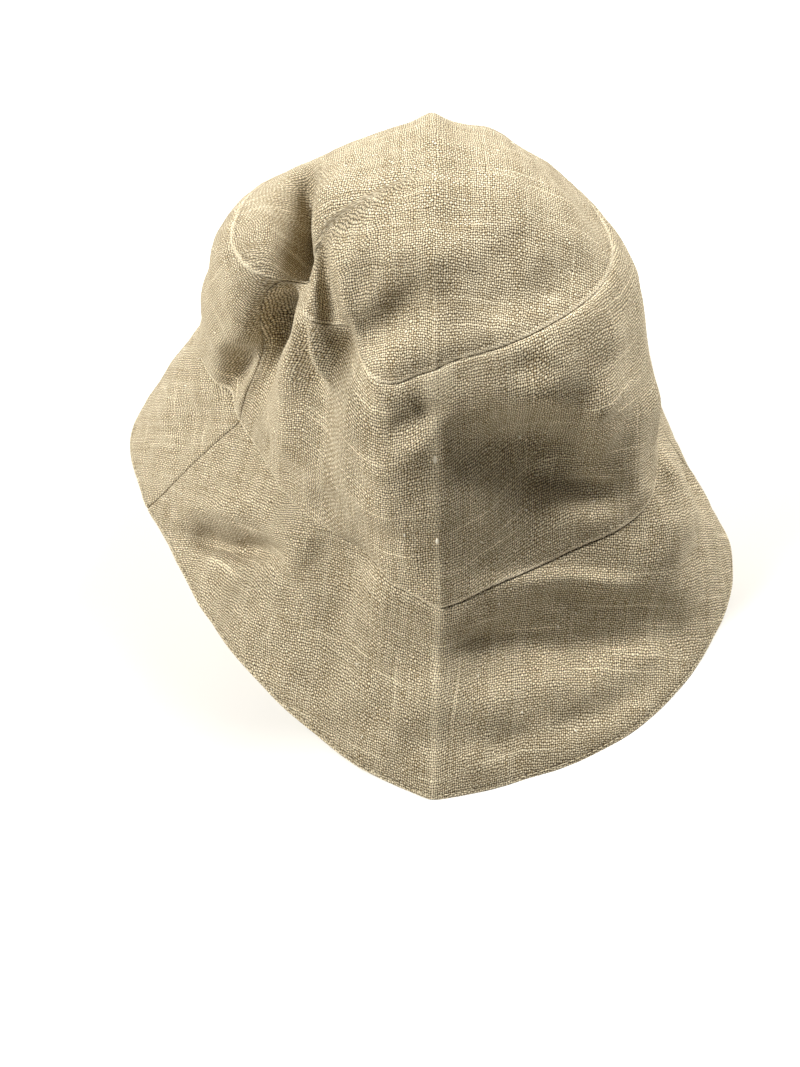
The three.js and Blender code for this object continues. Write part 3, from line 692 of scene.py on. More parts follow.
@dataclass(frozen=True)
class LinenWeave:
    """Undyed plain-weave linen: uneven threads, slubs and dark gaps between the threads.

    Pairs of numbers are for the warp and the weft. A scale is in noise cells per metre, a pace
    in noise cells per crossing thread, and a stride sets neighbouring threads apart in the noise.
    """

    name: str = "natural_linen"
    pitches: Pair = (0.85 * MM, 1.02 * MM)
    pale: Colour = (1.0, 0.87, 0.61)
    mid: Colour = (0.42, 0.32, 0.17)
    gap: Colour = (0.040, 0.022, 0.008)
    # Pale of worn cloth on the crease and hem edge, also used as a painted highlight on the rolled seam
    # edges and painted light on the band's top.
    wear_and_painted_highlight: Colour = (0.90, 0.80, 0.60)
    roughness: float = 0.93
    thread_gloss: float = 0.06
    specular: float = 0.25
    sheen: float = 0.08
    sheen_roughness: float = 0.5
    sheen_tint: Colour = (1.0, 0.95, 0.82)
    thread_height: float = 0.30 * MM
    bump_strength: float = 0.7
    sway_scales: Pair = (38.0, 47.0)
    sway: float = 3.0
    sag_offset: float = 3.1
    jitter_scale: float = 310.0
    jitter: float = 0.8
    slip: float = 0.8
    slip_pace: float = 0.45
    slip_strides: Pair = (4.7, 5.3)
    flank_power: float = 0.6
    dip: float = 0.42
    thread_tone: float = 0.5
    thread_lots: Pair = (7.0, 11.0)
    drift_tone: float = 0.9
    drift_pace: float = 0.05
    drift_strides: Pair = (3.7, 4.3)
    slub_paces: Pair = (0.018, 0.013)
    slub_strides: Pair = (6.3, 5.9)
    warp_slub_range: Pair = (0.68, 0.82)
    weft_slub_range: Pair = (0.63, 0.78)
    grain_cells: float = 2.0
    mottle_scale: float = 130.0
    tone_light: float = 0.8
    grain_light: float = 0.45
    mottle_light: float = 0.5
    slub_light: float = 0.28
    weft_light: float = 0.5
    light_range: Pair = (0.5, 1.9)
    wear_and_highlight_pale: float = 0.45
    hole_depth: float = 1.1
    wear_and_highlight_fill: float = 0.45
    slub_fill: float = 0.15
    body_range: Pair = (0.09, 1.0)
    # How far the painted shade beside the seams and on the brim under the band's edge darkens the cloth.
    painted_seam_shade_strength: float = 0.45
    speck_pitch: float = 1.3 * MM
    speck_range: Pair = (0.45, 0.75)
    speck_dark: float = 0.75
    wear_and_highlight_smoothing: float = 0.4
    slub_relief: float = 0.3
    grain_relief: float = 0.25
    weft_relief: float = 0.35

    def threads(self, g: Graph, flat: Socket, u: Value, v: Value) -> tuple[Value, Value]:
        """Counts the threads across the flat cloth, with a slow sway, a jitter and a slip.

        Args:
            g: The graph.
            flat: The place on the flat cloth.
            u: Its first number.
            v: Its second number.

        Returns:
            The warp's and the weft's count, whose whole parts number the threads.
        """
        sway = g.swing(flat, self.sway_scales[0], self.sway)
        sag = g.swing(g.vector(v + self.sag_offset, u), self.sway_scales[1], self.sway)
        jitter = g.swing(flat, self.jitter_scale, self.jitter, 1.0)
        warp = u * (1 / self.pitches[0]) + sway + jitter
        weft = v * (1 / self.pitches[1]) + sag + jitter
        shift_place = g.vector(weft.math("FLOOR") * self.slip_strides[1], warp * self.slip_pace)
        drop_place = g.vector(warp.math("FLOOR") * self.slip_strides[0], weft * self.slip_pace)
        return (warp + g.swing(shift_place, 1.0, self.slip, 0.0),
                weft + g.swing(drop_place, 1.0, self.slip, 0.0))

    def tones(self, g: Graph, warp: Value, weft: Value, weft_up: Value) -> tuple[Value, Value]:
        """Gives each thread a tone of its own that drifts along it, and here and there a slub.

        Args:
            g: The graph.
            warp: The warp's count.
            weft: The weft's count.
            weft_up: 1 where the weft lies on top and 0 where the warp does.

        Returns:
            The tone of the upper thread and how far the place lies on a slub.
        """
        column, row = warp.math("FLOOR"), weft.math("FLOOR")
        warp_drift = g.noise(g.vector(column * self.drift_strides[0], weft * self.drift_pace), 1.0)
        weft_drift = g.noise(g.vector(warp * self.drift_pace, row * self.drift_strides[1]), 1.0)
        warp_tone = g.random(column, self.thread_lots[0]) * self.thread_tone + warp_drift * self.drift_tone
        weft_tone = g.random(self.thread_lots[1], row) * self.thread_tone + weft_drift * self.drift_tone
        warp_slub = g.noise(g.vector(column * self.slub_strides[0], weft * self.slub_paces[0]), 1.0)
        weft_slub = g.noise(g.vector(warp * self.slub_paces[1], row * self.slub_strides[1]), 1.0)
        slub = weft_slub.between(*self.weft_slub_range)
        return (warp_tone + (weft_tone - warp_tone) * weft_up,
                slub.math("MAXIMUM", warp_slub.between(*self.warp_slub_range)))

    def material(self) -> Finish:
        """Builds the weave over the flat pattern of each panel.

        In each cell of the thread counts the warp or the weft lies on top, as on a draught
        board, with a height of |sin| across the thread times |sin| along it. A random part of
        the small cells under a stitched line is darkened.

        Returns:
            The material.
        """
        g = Graph(self.name)
        flat = g.node("ShaderNodeUVMap", {"uv_map": "flat"}).outputs["UV"]
        split = g.node("ShaderNodeSeparateXYZ", {}, {0: flat})
        u, v = Value(g, split.outputs[0]), Value(g, split.outputs[1])
        warp, weft = self.threads(g, flat, u, v)
        across, down = warp.ridge(), weft.ridge()
        weft_up = (warp.math("FLOOR") + weft.math("FLOOR")).math("PINGPONG", 1.0)
        warp_face = across**self.flank_power * (down * self.dip + (1 - self.dip))
        weft_face = down**self.flank_power * (across * self.dip + (1 - self.dip))
        height = warp_face + (weft_face - warp_face) * weft_up
        hole = (1.0 - across) * (1.0 - down)
        tone, slub = self.tones(g, warp, weft, weft_up)
        wear_and_painted_highlight = g.attribute("wear_and_painted_highlight")
        grain = g.random((warp * self.grain_cells).math("FLOOR"), (weft * self.grain_cells).math("FLOOR"))
        mottle = g.noise(flat, self.mottle_scale, 3.0)
        light = (tone * self.tone_light + grain * self.grain_light + mottle * self.mottle_light
                 + slub * self.slub_light + weft_up * self.weft_light).between(*self.light_range)
        thread = g.mix(light, self.mid, self.pale)
        # Worn pale on the crease and hem edge; a painted highlight on the rolled seam edges and painted
        # light on the band's top.
        thread = g.mix(wear_and_painted_highlight * self.wear_and_highlight_pale, thread, self.wear_and_painted_highlight)
        body = height - hole * self.hole_depth + wear_and_painted_highlight * self.wear_and_highlight_fill + slub * self.slub_fill
        colour = g.mix(body.between(*self.body_range), self.gap, thread)
        # Painted shade in the seam grooves and on the brim just below the band's edge.
        colour = g.mix(g.attribute("painted_seam_shade") * self.painted_seam_shade_strength, colour, self.gap)
        speck_cell = [(place * (1 / self.speck_pitch)).math("FLOOR") for place in (u, v)]
        specks = g.random(*speck_cell).between(*self.speck_range) * g.attribute("stitched")
        colour = g.mix(specks * self.speck_dark, colour, self.gap)
        relief = (height * (1.0 - wear_and_painted_highlight * self.wear_and_highlight_smoothing) + slub * self.slub_relief
                  + grain * self.grain_relief + weft_up * self.weft_relief)
        bump = g.node("ShaderNodeBump", {}, {
            "Strength": self.bump_strength, "Distance": self.thread_height, "Height": relief})
        shader = g.node("ShaderNodeBsdfPrincipled", {}, {
            "Base Color": colour, "Roughness": self.roughness - height * self.thread_gloss,
            "Normal": bump.outputs[0], "Specular IOR Level": self.specular, "Sheen Weight": self.sheen,
            "Sheen Roughness": self.sheen_roughness, "Sheen Tint": (*self.sheen_tint, 1.0)})
        return g.finish(shader)


@dataclass(frozen=True)
class SpunThread:
    """Twisted thread or loose fibre of one colour, with a fine change of tone."""

    name: str
    light: Colour
    dark: Colour
    scale: float = 900.0
    tone_range: Pair = (0.3, 0.7)
    roughness: float = 0.85
    specular: float = 0.3
    bump_strength: float = 0.5
    twist_height: float = 0.05 * MM

    def material(self) -> Finish:
        """Builds the finish from fine noise in object space."""
        g = Graph(self.name)
        place = g.node("ShaderNodeTexCoord").outputs["Object"]
        noise = g.node("ShaderNodeTexNoise", {}, {"Vector": place, "Scale": self.scale, "Detail": 2.0})
        tone = Value(g, noise.outputs["Fac"])
        bump = g.node("ShaderNodeBump", {}, {
            "Strength": self.bump_strength, "Distance": self.twist_height, "Height": tone})
        shader = g.node("ShaderNodeBsdfPrincipled", {}, {
            "Base Color": g.mix(tone.between(*self.tone_range), self.dark, self.light),
            "Roughness": self.roughness, "Normal": bump.outputs[0], "Specular IOR Level": self.specular})
        return g.finish(shader)


@dataclass(frozen=True)
class PaleFloor:
    """A plain pale floor with the faintest unevenness."""

    name: str = "pale_floor"
    light: Colour = (0.86, 0.84, 0.79)
    dark: Colour = (0.84, 0.82, 0.77)
    scale: float = 3.0
    roughness: float = 0.9

    def material(self) -> Finish:
        """Builds the floor's finish from slow noise in object space."""
        g = Graph(self.name)
        place = g.node("ShaderNodeTexCoord").outputs["Object"]
        noise = g.node("ShaderNodeTexNoise", {}, {"Vector": place, "Scale": self.scale})
        colour = g.mix(Value(g, noise.outputs["Fac"]), self.dark, self.light)
        return g.finish(g.node("ShaderNodeBsdfPrincipled", {}, {
            "Base Color": colour, "Roughness": self.roughness}))


def mesh_piece(name: str, vertices: Array, quads: Array, triangles: Array,
               material: Finish) -> Piece:
    """Makes a smooth mesh object from arrays.

    Args:
        name: The piece's name.
        vertices: Points in mm, one a row.
        quads: Four vertex numbers a row.
        triangles: Three vertex numbers a row.
        material: Its finish.

    Returns:
        The object, at the origin.
    """
    mesh = bpy.data.meshes.new(name)
    corners = np.concatenate([quads.ravel(), triangles.ravel()]).astype(np.int32)
    sizes = np.concatenate([np.full(len(quads), 4), np.full(len(triangles), 3)]).astype(np.int32)
    mesh.vertices.add(len(vertices))
    mesh.vertices.foreach_set("co", (vertices * MM).astype(np.float32).ravel())
    mesh.loops.add(len(corners))
    mesh.loops.foreach_set("vertex_index", corners)
    mesh.polygons.add(len(sizes))
    mesh.polygons.foreach_set("loop_start", (np.cumsum(sizes) - sizes).astype(np.int32))
    mesh.update(calc_edges=True)
    mesh.validate()
    mesh.shade_smooth()
    mesh.materials.append(material)
    piece = bpy.data.objects.new(name, mesh)
    bpy.context.scene.collection.objects.link(piece)
    return piece


def hat_piece(name: str, shape: tuple[Array, Array, Array],
              material: Finish) -> Piece:
    """Makes a mesh object, from vertices, quads and triangles, that rides on the hat's body."""
    piece = mesh_piece(name, *shape, material)
    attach(piece, BODY)
    return piece


def grid_quads(ids: Array, closed: bool) -> Array:
    """Gives the quads of a grid of vertex numbers, over columns and rows, closed or not."""
    after = np.roll(ids, -1, axis=0) if closed else ids[1:]
    here = ids if closed else ids[:-1]
    return np.stack([here[:, :-1], here[:, 1:], after[:, 1:], after[:, :-1]], -1).reshape(-1, 4)


@dataclass(frozen=True)
class WearAndPaintedLight:
    """Lines along which the cloth is marked: a strength, then a middle and a width in mm. The crease and hem
    edge are worn pale, the rolled edges get a painted highlight, the band's top painted light and the seams
    painted shade.
    """

    crease: Line = (0.45, 0, 0.7)
    crease_stations: Pair = (0.5, 1)
    # A painted highlight along the rolled edge that lies over a seam.
    rolled_edge_highlight: Line = (1, 0.55, 0.6)
    rolled_stitching: Line = (0.6, 2.4, 0.4)
    hem_edge: Line = (0.8, 0, 0.9)
    hem_stitching: Line = (1, 2.1, 0.5)
    # Painted light on the band's top, where it lies in the shade of the rolled edge above.
    band_top_painted_light: Line = (0.6, 0, 0.7)
    # Painted shade along the side seams.
    side_seam_shade: Line = (0.6, 0, 0.35)
    brim_shadow: Pair = (-0.6, 0.7)

    @staticmethod
    def mark(distance: Array, line: Line) -> Array:
        """Gives a line's mark at a distance from its edge or seam."""
        strength, middle, width = line
        return strength * bell(distance, middle, width)


@dataclass
class ClothPanel:
    """One piece of the hat's cloth, a closed sheet with rounded edges, in mm."""

    panel: Panel
    turns: Array
    stations: Pair
    upper: Edge
    lower: Edge
    thickness: float
    flat_size: Pair
    flat_area: float
    form: HatForm
    relief: SeamRelief
    crumple: Crumple
    wear_and_painted_light: WearAndPaintedLight = WearAndPaintedLight()
    row_step: float = 1.35
    edge_steps: tuple[float, ...] = (0, 0.04, 0.16, 0.34, 0.56, 0.85, 1.2, 1.7, 2.3, 3.1, 4.2, 5.6)
    pole_rows: int = 3
    pole_station: float = 0.02
    tucked_stations: float = 0.06
    arc_samples: int = 97
    no_side: float = 99.0
    even_reach: int = 24
    edge_wrinkles: float = 0.35
    wrinkle_reach: float = 12
    seam_arc: float = 1.5
    side_imprint_reach: float = 6
    side_pucker: float = 0.6
    side_pucker_shift: float = 31.0
    hem_thickness: float = 1.5
    hem_reach: Pair = (3, 9)

    @property
    def round_panel(self) -> bool:
        """Tells whether the panel goes all the way round."""
        return self.upper is Edge.POLE

    def rows(self, lengths: Array) -> Array:
        """Gives the rows' distances from the upper seam, fine beside both edges.

        Args:
            lengths: The length of each column, from seam to seam.

        Returns:
            Distances over columns and rows.
        """
        steps = np.array(self.edge_steps)
        above = steps - self.relief.tuck_start
        if self.round_panel:
            above = np.linspace(0, 1, self.pole_rows)
        above = above * np.ones_like(lengths)[:, None]
        below = lengths[:, None] - steps[::-1]
        middle = max(2, round((lengths.mean() - 2 * steps[-1]) / self.row_step))
        shares = np.arange(1, middle) / middle
        between = above[:, -1:] + (below[:, :1] - above[:, -1:]) * shares
        return np.concatenate([above, between, below], 1)

    def places(self) -> Places:
        """Works out where every point of the panel lies on the smooth form.

        Returns:
            The arrays over columns and rows.
        """
        first, last = self.stations
        before = 0.0 if self.round_panel else self.tucked_stations
        fine = np.linspace(first - before, last, self.arc_samples)
        arcs = run_lengths(self.form.outer(*np.meshgrid(self.turns, fine, indexing="ij")), 1)
        arcs -= np.array([[np.interp(first, fine, arc)] for arc in arcs])
        from_top = self.rows(arcs[:, -1])
        station = np.array([np.interp(row, arc, fine) for row, arc in zip(from_top, arcs)])
        turn = np.broadcast_to(self.turns[:, None], station.shape)
        point = self.form.outer(turn, station)
        normal = self.form.normal(turn, np.maximum(station, self.pole_station))
        along = run_lengths(point, 0)
        to_side = np.minimum(along, along[-1] - along)
        if self.round_panel:
            to_side = np.full_like(along, self.no_side)
        reach = np.linalg.norm(point[..., :2] - point[..., :2].mean((0, 1)), axis=-1)
        centre = np.searchsorted(self.turns, self.turns.mean())
        return Places(turn, station, point, normal, from_top, arcs[:, -1:] - from_top, to_side,
                      self.form.crease_distance(turn, reach), along - along[centre])

    def lift(self, at: Places) -> Array:
        """Gives how far the outer face stands off the smooth form, from wrinkles and seams.

        Args:
            at: The panel's places.

        Returns:
            Heights over columns and rows.
        """
        relief = self.relief
        edge = at.to_bottom
        if not self.round_panel:
            edge = np.minimum(np.minimum(np.abs(at.from_top), at.to_bottom), at.to_side)
        wrinkled = self.edge_wrinkles + (1 - self.edge_wrinkles) * smooth_step(0, self.wrinkle_reach, edge)
        lift = self.crumple.height_at(at.point) * wrinkled
        seam_arc = at.turn * self.seam_arc
        shown = relief.stands_out(self.panel, at.turn)
        if self.lower is Edge.ROLLED:
            lift += (relief.roll(at.to_bottom) + relief.imprint(at.to_bottom)) * shown
            lift += relief.pucker(at.to_bottom, seam_arc)
        else:
            lift += relief.stitch_groove(at.to_bottom)
        if not self.round_panel:
            groove = shown * (relief.brim_groove if self.lower is Edge.HEM else 0.0)
            lift += relief.tuck(at.from_top, self.thickness, groove) + relief.pucker(at.from_top, seam_arc)
            inside = smooth_step(0, self.side_imprint_reach, at.from_top)
            lift += relief.butt(at.to_side) + relief.imprint(at.to_side) * inside
            lift += relief.pucker(at.to_side, at.from_top + self.side_pucker_shift) * self.side_pucker
        return lift

    def sheet_thickness(self, at: Places) -> Array:
        """Gives the sheet's thickness: pressed thin at sewn edges and doubled at the hem."""
        thickness = np.full(at.turn.shape, self.thickness)
        sewn = [] if self.round_panel else [at.from_top]
        if self.lower is Edge.ROLLED:
            sewn.append(at.to_bottom)
        pressed = self.relief.pressed_share
        for distance in sewn:
            thickness *= pressed + (1 - pressed) * smooth_step(0, self.relief.pressed_reach, distance)
        if self.lower is Edge.HEM:
            folded = 1 - smooth_step(*self.hem_reach, at.to_bottom)
            thickness += (self.hem_thickness - self.thickness) * folded
        return thickness

    def half_thickness(self, at: Places, thickness: Array) -> Array:
        """Gives half the sheet's thickness, which closes along a quarter circle at each edge."""
        half = thickness / 2
        edges = [at.to_bottom, at.to_side]
        if not self.round_panel:
            edges.append(at.from_top - at.from_top[:, :1])
        for edge in edges:
            share = 1 - np.clip(edge / (thickness / 2), 0, 1)
            half = half * np.sqrt(1 - share * share)
        return half

    def evened(self, lengths: Array) -> Array:
        """Evens lengths out over neighbouring columns, so that folds do not skew the weave."""
        reach = self.even_reach
        mode = "wrap" if self.round_panel else "edge"
        padded = np.pad(lengths, ((reach, reach), (0, 0)), mode=mode)
        weights = np.hanning(2 * reach + 3)[1:-1]
        weights /= weights.sum()
        return sum(weight * padded[k:k + len(lengths)] for k, weight in enumerate(weights))

    def flat(self, at: Places) -> Array:
        """Lays the panel flat, as the cloth was cut.

        The round panel goes to its true distance from the middle at its true heading. A half
        band goes to a piece of a flat ring, whose angle is the difference of its two long
        edges over its height, with the grain straight on the crease.

        Args:
            at: The panel's places.

        Returns:
            Flat points in metres, with u and v in the last axis.
        """
        from_top = self.evened(at.from_top)
        if self.round_panel:
            calm = self.form.calm_point(at.turn, at.station)[..., :2]
            return unit(calm - np.array(self.form.tip_middle[:2])) * from_top[..., None] * MM
        upper, lower = np.abs(at.along[-1] - at.along[0])[[len(self.edge_steps), -1]]
        height = at.from_top[:, -1].mean()
        angle = (lower - upper) / height
        middle_row = at.along.shape[1] // 2
        share = at.along[:, middle_row] / (at.along[-1, middle_row] - at.along[0, middle_row])
        heading = share[:, None] * angle
        radius = upper / angle + from_top
        return np.stack([radius * np.sin(heading), -radius * np.cos(heading)], -1) * MM

    def build(self, finish: Finish) -> Piece:
        """Makes the closed sheet: an outer and an inner grid that share their borders.

        Args:
            finish: The cloth's material.

        Returns:
            The piece, riding on the hat's body in place of its node.
        """
        at = self.places()
        thickness = self.sheet_thickness(at)
        half = self.half_thickness(at, thickness)
        middle = at.point + at.normal * (self.lift(at) - thickness / 2)[..., None]
        outer = middle + at.normal * half[..., None]
        inner = middle - at.normal * half[..., None]
        for face in (outer, inner):
            face[..., 2] = np.maximum(face[..., 2], 0.0)
        columns, rows = at.turn.shape
        ids = np.arange(columns * rows).reshape(columns, rows)
        border = np.zeros((columns, rows), bool)
        border[:, -1] = True
        if self.round_panel:
            ids[:, 0] = ids[0, 0]
        else:
            border[:, 0] = border[0] = border[-1] = True
        below = ids + columns * rows
        below[border] = ids[border]
        first = 1 if self.round_panel else 0
        quads = np.concatenate([grid_quads(ids[:, first:], self.round_panel),
                                grid_quads(below[:, first:], self.round_panel)[:, ::-1]])
        triangles = np.zeros((0, 3), int)
        if self.round_panel:
            fans = [np.stack([ring[:, 0], ring[:, 1], np.roll(ring[:, 1], -1)], -1) for ring in (ids, below)]
            triangles = np.concatenate([fans[0], fans[1][:, ::-1]])
        vertices = np.concatenate([outer.reshape(-1, 3), inner.reshape(-1, 3)])
        flat = np.tile(self.flat(at).reshape(-1, 2), (2, 1))
        marks = {name: np.tile(mark.ravel(), 2) for name, mark in self.marks(at).items()}
        used = np.unique(np.concatenate([quads.ravel(), triangles.ravel()]))
        renumber = np.zeros(len(vertices), int)
        renumber[used] = np.arange(len(used))
        name = f"{self.panel.value}_cloth"
        piece = hat_piece(name, (vertices[used], renumber[quads], renumber[triangles]), finish)
        corners = np.zeros(len(piece.data.loops), np.int32)
        piece.data.loops.foreach_get("vertex_index", corners)
        layer = piece.data.uv_layers.new(name="flat")
        layer.data.foreach_set("uv", flat[used][corners].astype(np.float32).ravel())
        for mark, values in marks.items():
            attribute = piece.data.attributes.new(mark, "FLOAT", "POINT")
            attribute.data.foreach_set("value", values[used].astype(np.float32))
        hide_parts(self.panel.value)
        log.info("%s: %d vertices, flat %.0f by %.0f mm", name, len(used), *(s / MM for s in self.flat_size))
        return piece

    def marks(self, at: Places) -> dict[str, Array]:
        """Gives where the cloth is worn pale or painted with a highlight, where painted shade darkens it by
        its seams, and where it lies under a stitched line.

        Args:
            at: The panel's places.

        Returns:
            Numbers from 0 to 1 over columns and rows, by name.
        """
        wear_and_painted_light, shown = self.wear_and_painted_light, self.relief.stands_out(self.panel, at.turn)
        wear_and_painted_highlight = wear_and_painted_light.mark(at.to_crease, wear_and_painted_light.crease) * smooth_step(*wear_and_painted_light.crease_stations, at.station)
        painted_seam_shade = np.zeros(at.turn.shape)
        if self.lower is Edge.HEM:
            wear_and_painted_highlight = np.maximum(wear_and_painted_highlight, wear_and_painted_light.mark(at.to_bottom, wear_and_painted_light.hem_edge))
            stitched = wear_and_painted_light.mark(at.to_bottom, wear_and_painted_light.hem_stitching)
            # Painted shade on the brim just below the band's edge.
            painted_seam_shade = shown * (1 - smooth_step(*wear_and_painted_light.brim_shadow, at.from_top))
        else:
            # A painted highlight along the rolled edge.
            wear_and_painted_highlight = np.maximum(wear_and_painted_highlight, wear_and_painted_light.mark(at.to_bottom, wear_and_painted_light.rolled_edge_highlight) * shown)
            stitched = wear_and_painted_light.mark(at.to_bottom, wear_and_painted_light.rolled_stitching) * shown
            if not self.round_panel:
                # Painted light on the band's top, under the rolled edge above it.
                wear_and_painted_highlight = np.maximum(wear_and_painted_highlight, wear_and_painted_light.mark(at.from_top, wear_and_painted_light.band_top_painted_light))
        if not self.round_panel:
            # Painted shade along the side seams.
            painted_seam_shade = np.maximum(painted_seam_shade, wear_and_painted_light.mark(at.to_side, wear_and_painted_light.side_seam_shade))
        return {"wear_and_painted_highlight": wear_and_painted_highlight, "painted_seam_shade": painted_seam_shade, "stitched": stitched}


def swept_strands(lines: Array, ups: Array, radii: Array,
                  sides: int) -> tuple[Array, Array, Array]:
    """Sweeps a round section along many short lines at once, each closed by a point at its ends.

    Args:
        lines: Points of the lines, over strands, stations and x, y, z.
        ups: For each strand, a direction that its section is turned towards.
        radii: The section's radius, over strands and inner stations.
        sides: Sides of the section.

    Returns:
        Vertices, quads and triangles.
    """
    tangent = unit(np.gradient(lines, axis=1))
    side = unit(np.cross(tangent, ups[:, None, :]))
    up = np.cross(side, tangent)
    turns = np.arange(sides) * 2 * math.pi / sides
    spread = (side[:, 1:-1, None] * np.cos(turns)[:, None] + up[:, 1:-1, None] * np.sin(turns)[:, None])
    rings = lines[:, 1:-1, None] + spread * radii[:, :, None, None]
    strands, stations = rings.shape[:2]
    each = stations * sides + 2
    vertices = np.concatenate([rings.reshape(strands, -1, 3), lines[:, :1], lines[:, -1:]], 1)
    ring = np.arange(stations * sides).reshape(stations, sides)
    after = np.roll(ring, -1, axis=1)
    quads = np.stack([ring[:-1], after[:-1], after[1:], ring[1:]], -1).reshape(-1, 4)
    start, end = each - 2, each - 1
    cap = np.stack([np.full(sides, start), after[0], ring[0]], -1)
    tail = np.stack([np.full(sides, end), ring[-1], after[-1]], -1)
    offsets = (np.arange(strands) * each)[:, None, None]
    triangles = np.concatenate([cap, tail])
    return (vertices.reshape(-1, 3), (quads + offsets).reshape(-1, 4), (triangles + offsets).reshape(-1, 3))


def read_along(arcs: Array, values: Array, at: Array) -> Array:
    """Reads points or directions that are kept along a line, at given lengths along it."""
    return np.stack([np.interp(at, arcs, values[:, axis]) for axis in range(3)], -1)


@dataclass
class HemStitching:
    """The row of small stitches along the brim edge, on its outer face, in mm."""

    form: HatForm
    relief: SeamRelief
    pitch: float = 2.6
    length: float = 2.0
    radius: float = 0.21
    arch: float = 0.063
    end_sink: float = 0.18
    groove_share: float = 0.8
    bluntness: float = 4
    stations: int = 7
    sides: int = 6
    samples: int = 1441
    station_step: float = 0.01

    def build(self, finish: Finish) -> Piece:
        """Lays a stitch at every pitch along a line that runs beside the edge.

        Args:
            finish: The thread's material.

        Returns:
            The piece, riding on the hat's body.
        """
        turns = np.linspace(-180, 180, self.samples)
        rim = np.full_like(turns, LAST_STATION)
        inward = self.form.outer(turns, rim - self.station_step) - self.form.outer(turns, rim)
        per_station = np.linalg.norm(inward, axis=-1) / self.station_step
        station = rim - self.relief.stitch_from_edge / per_station
        line, normal = self.form.outer(turns, station), self.form.normal(turns, station)
        arcs = run_lengths(line, 0)
        count = round(arcs[-1] / self.pitch)
        middles = (np.arange(count) + 0.5) * arcs[-1] / count
        shares = np.linspace(-1, 1, self.stations)
        ups = read_along(arcs, normal, middles)
        rise = self.arch - self.end_sink * shares**2 - self.relief.stitch_sink * self.groove_share
        lines = read_along(arcs, line, middles[:, None] + shares * self.length / 2)
        radii = self.radius * np.sqrt(1 - shares[1:-1] ** self.bluntness)
        shape = swept_strands(lines + ups[:, None] * rise[:, None], ups,
                              np.broadcast_to(radii, (count, self.stations - 2)), self.sides)
        log.info("hem stitches: %d", count)
        return hat_piece("hem_stitches", shape, finish)


@dataclass
class LooseFibres:
    """Short fibres that stand off the cloth, and the small pale lumps spun into it, in mm."""

    form: HatForm
    seed: int = 5
    area_shares: tuple[float, ...] = (0, 0.36, 0.66, 1)
    area_stations: tuple[float, ...] = (0.05, 1, 2, 2.98)
    bare_middle: float = 0.01
    stations: int = 7
    fibres: int = 2600
    fibre_length: Pair = (1.2, 4.2)
    fibre_radius: float = 0.035
    fibre_taper: float = 0.7
    fibre_sides: int = 3
    fibre_lift: Pair = (0.16, 1.0)
    fibre_fall: float = 1.15
    fibre_root: float = 0.05
    fibre_curl: Pair = (-0.5, 0.5)
    lumps: int = 70
    lump_length: Pair = (0.7, 1.7)
    lump_radius: Pair = (0.22, 0.42)
    lump_rise: float = 0.12
    lump_sides: int = 6
    heading_step: float = 0.01

    def scatter(self, random: np.random.Generator, count: int) -> tuple[Array, ...]:
        """Picks places on the outer face, evenly by area, with their normals and a heading.

        Args:
            random: The source of random numbers.
            count: How many places.

        Returns:
            Points, normals and unit headings along the cloth.
        """
        reach = np.sqrt(random.uniform(self.bare_middle, 1, count))
        station = np.interp(reach, self.area_shares, self.area_stations)
        turn = random.uniform(-180, 180, count)
        point, normal = self.form.outer(turn, station), self.form.normal(turn, station)
        return point, normal, unit(np.cross(normal, random.normal(size=(count, 3))))

    def fibre_piece(self, finish: Finish) -> Piece:
        """Makes the fibres: each an arc that leaves the cloth, bends over and curls aside."""
        random = np.random.default_rng(self.seed)
        point, normal, heading = self.scatter(random, self.fibres)
        length, lift, curl = (random.uniform(*spread, self.fibres)[:, None, None]
                              for spread in (self.fibre_length, self.fibre_lift, self.fibre_curl))
        share = np.linspace(0, 1, self.stations)[None, :, None]
        rise = lift * length * share * (self.fibre_fall - share) - self.fibre_root
        line = (point[:, None] + heading[:, None] * share * length + normal[:, None] * rise
                + np.cross(normal, heading)[:, None] * curl * length * share**2)
        line[..., 2] = np.maximum(line[..., 2], 2 * self.fibre_radius)
        radii = self.fibre_radius * (1 - self.fibre_taper * share[0, 1:-1, 0])
        radii = np.broadcast_to(radii, (self.fibres, self.stations - 2))
        log.info("loose fibres: %d", self.fibres)
        return hat_piece("loose_fibres", swept_strands(line, normal, radii, self.fibre_sides), finish)

    def lump_piece(self, finish: Finish) -> Piece:
        """Makes the lumps: short spindles that lie half in the cloth."""
        random = np.random.default_rng(self.seed + 1)
        point, normal, heading = self.scatter(random, self.lumps)
        length = random.uniform(*self.lump_length, self.lumps)
        radius = random.uniform(*self.lump_radius, self.lumps)
        turn, station, nub_length, nub_radius = np.array(NUBS, float).T
        down = (self.form.outer(turn, station + self.heading_step)
                - self.form.outer(turn, station - self.heading_step))
        point = np.concatenate([point, self.form.outer(turn, station)])[:, None]
        normal = np.concatenate([normal, self.form.normal(turn, station)])
        heading = np.concatenate([heading, unit(down)])[:, None]
        length = np.concatenate([length, nub_length])[:, None, None]
        radius = np.concatenate([radius, nub_radius])[:, None]
        share = np.linspace(-1, 1, self.stations)
        line = point + heading * share[:, None] / 2 * length + normal[:, None] * self.lump_rise
        radii = radius * np.sqrt(1 - share[1:-1] ** 2)
        log.info("spun lumps: %d", len(radii))
        return hat_piece("spun_lumps", swept_strands(line, normal, radii, self.lump_sides), finish)


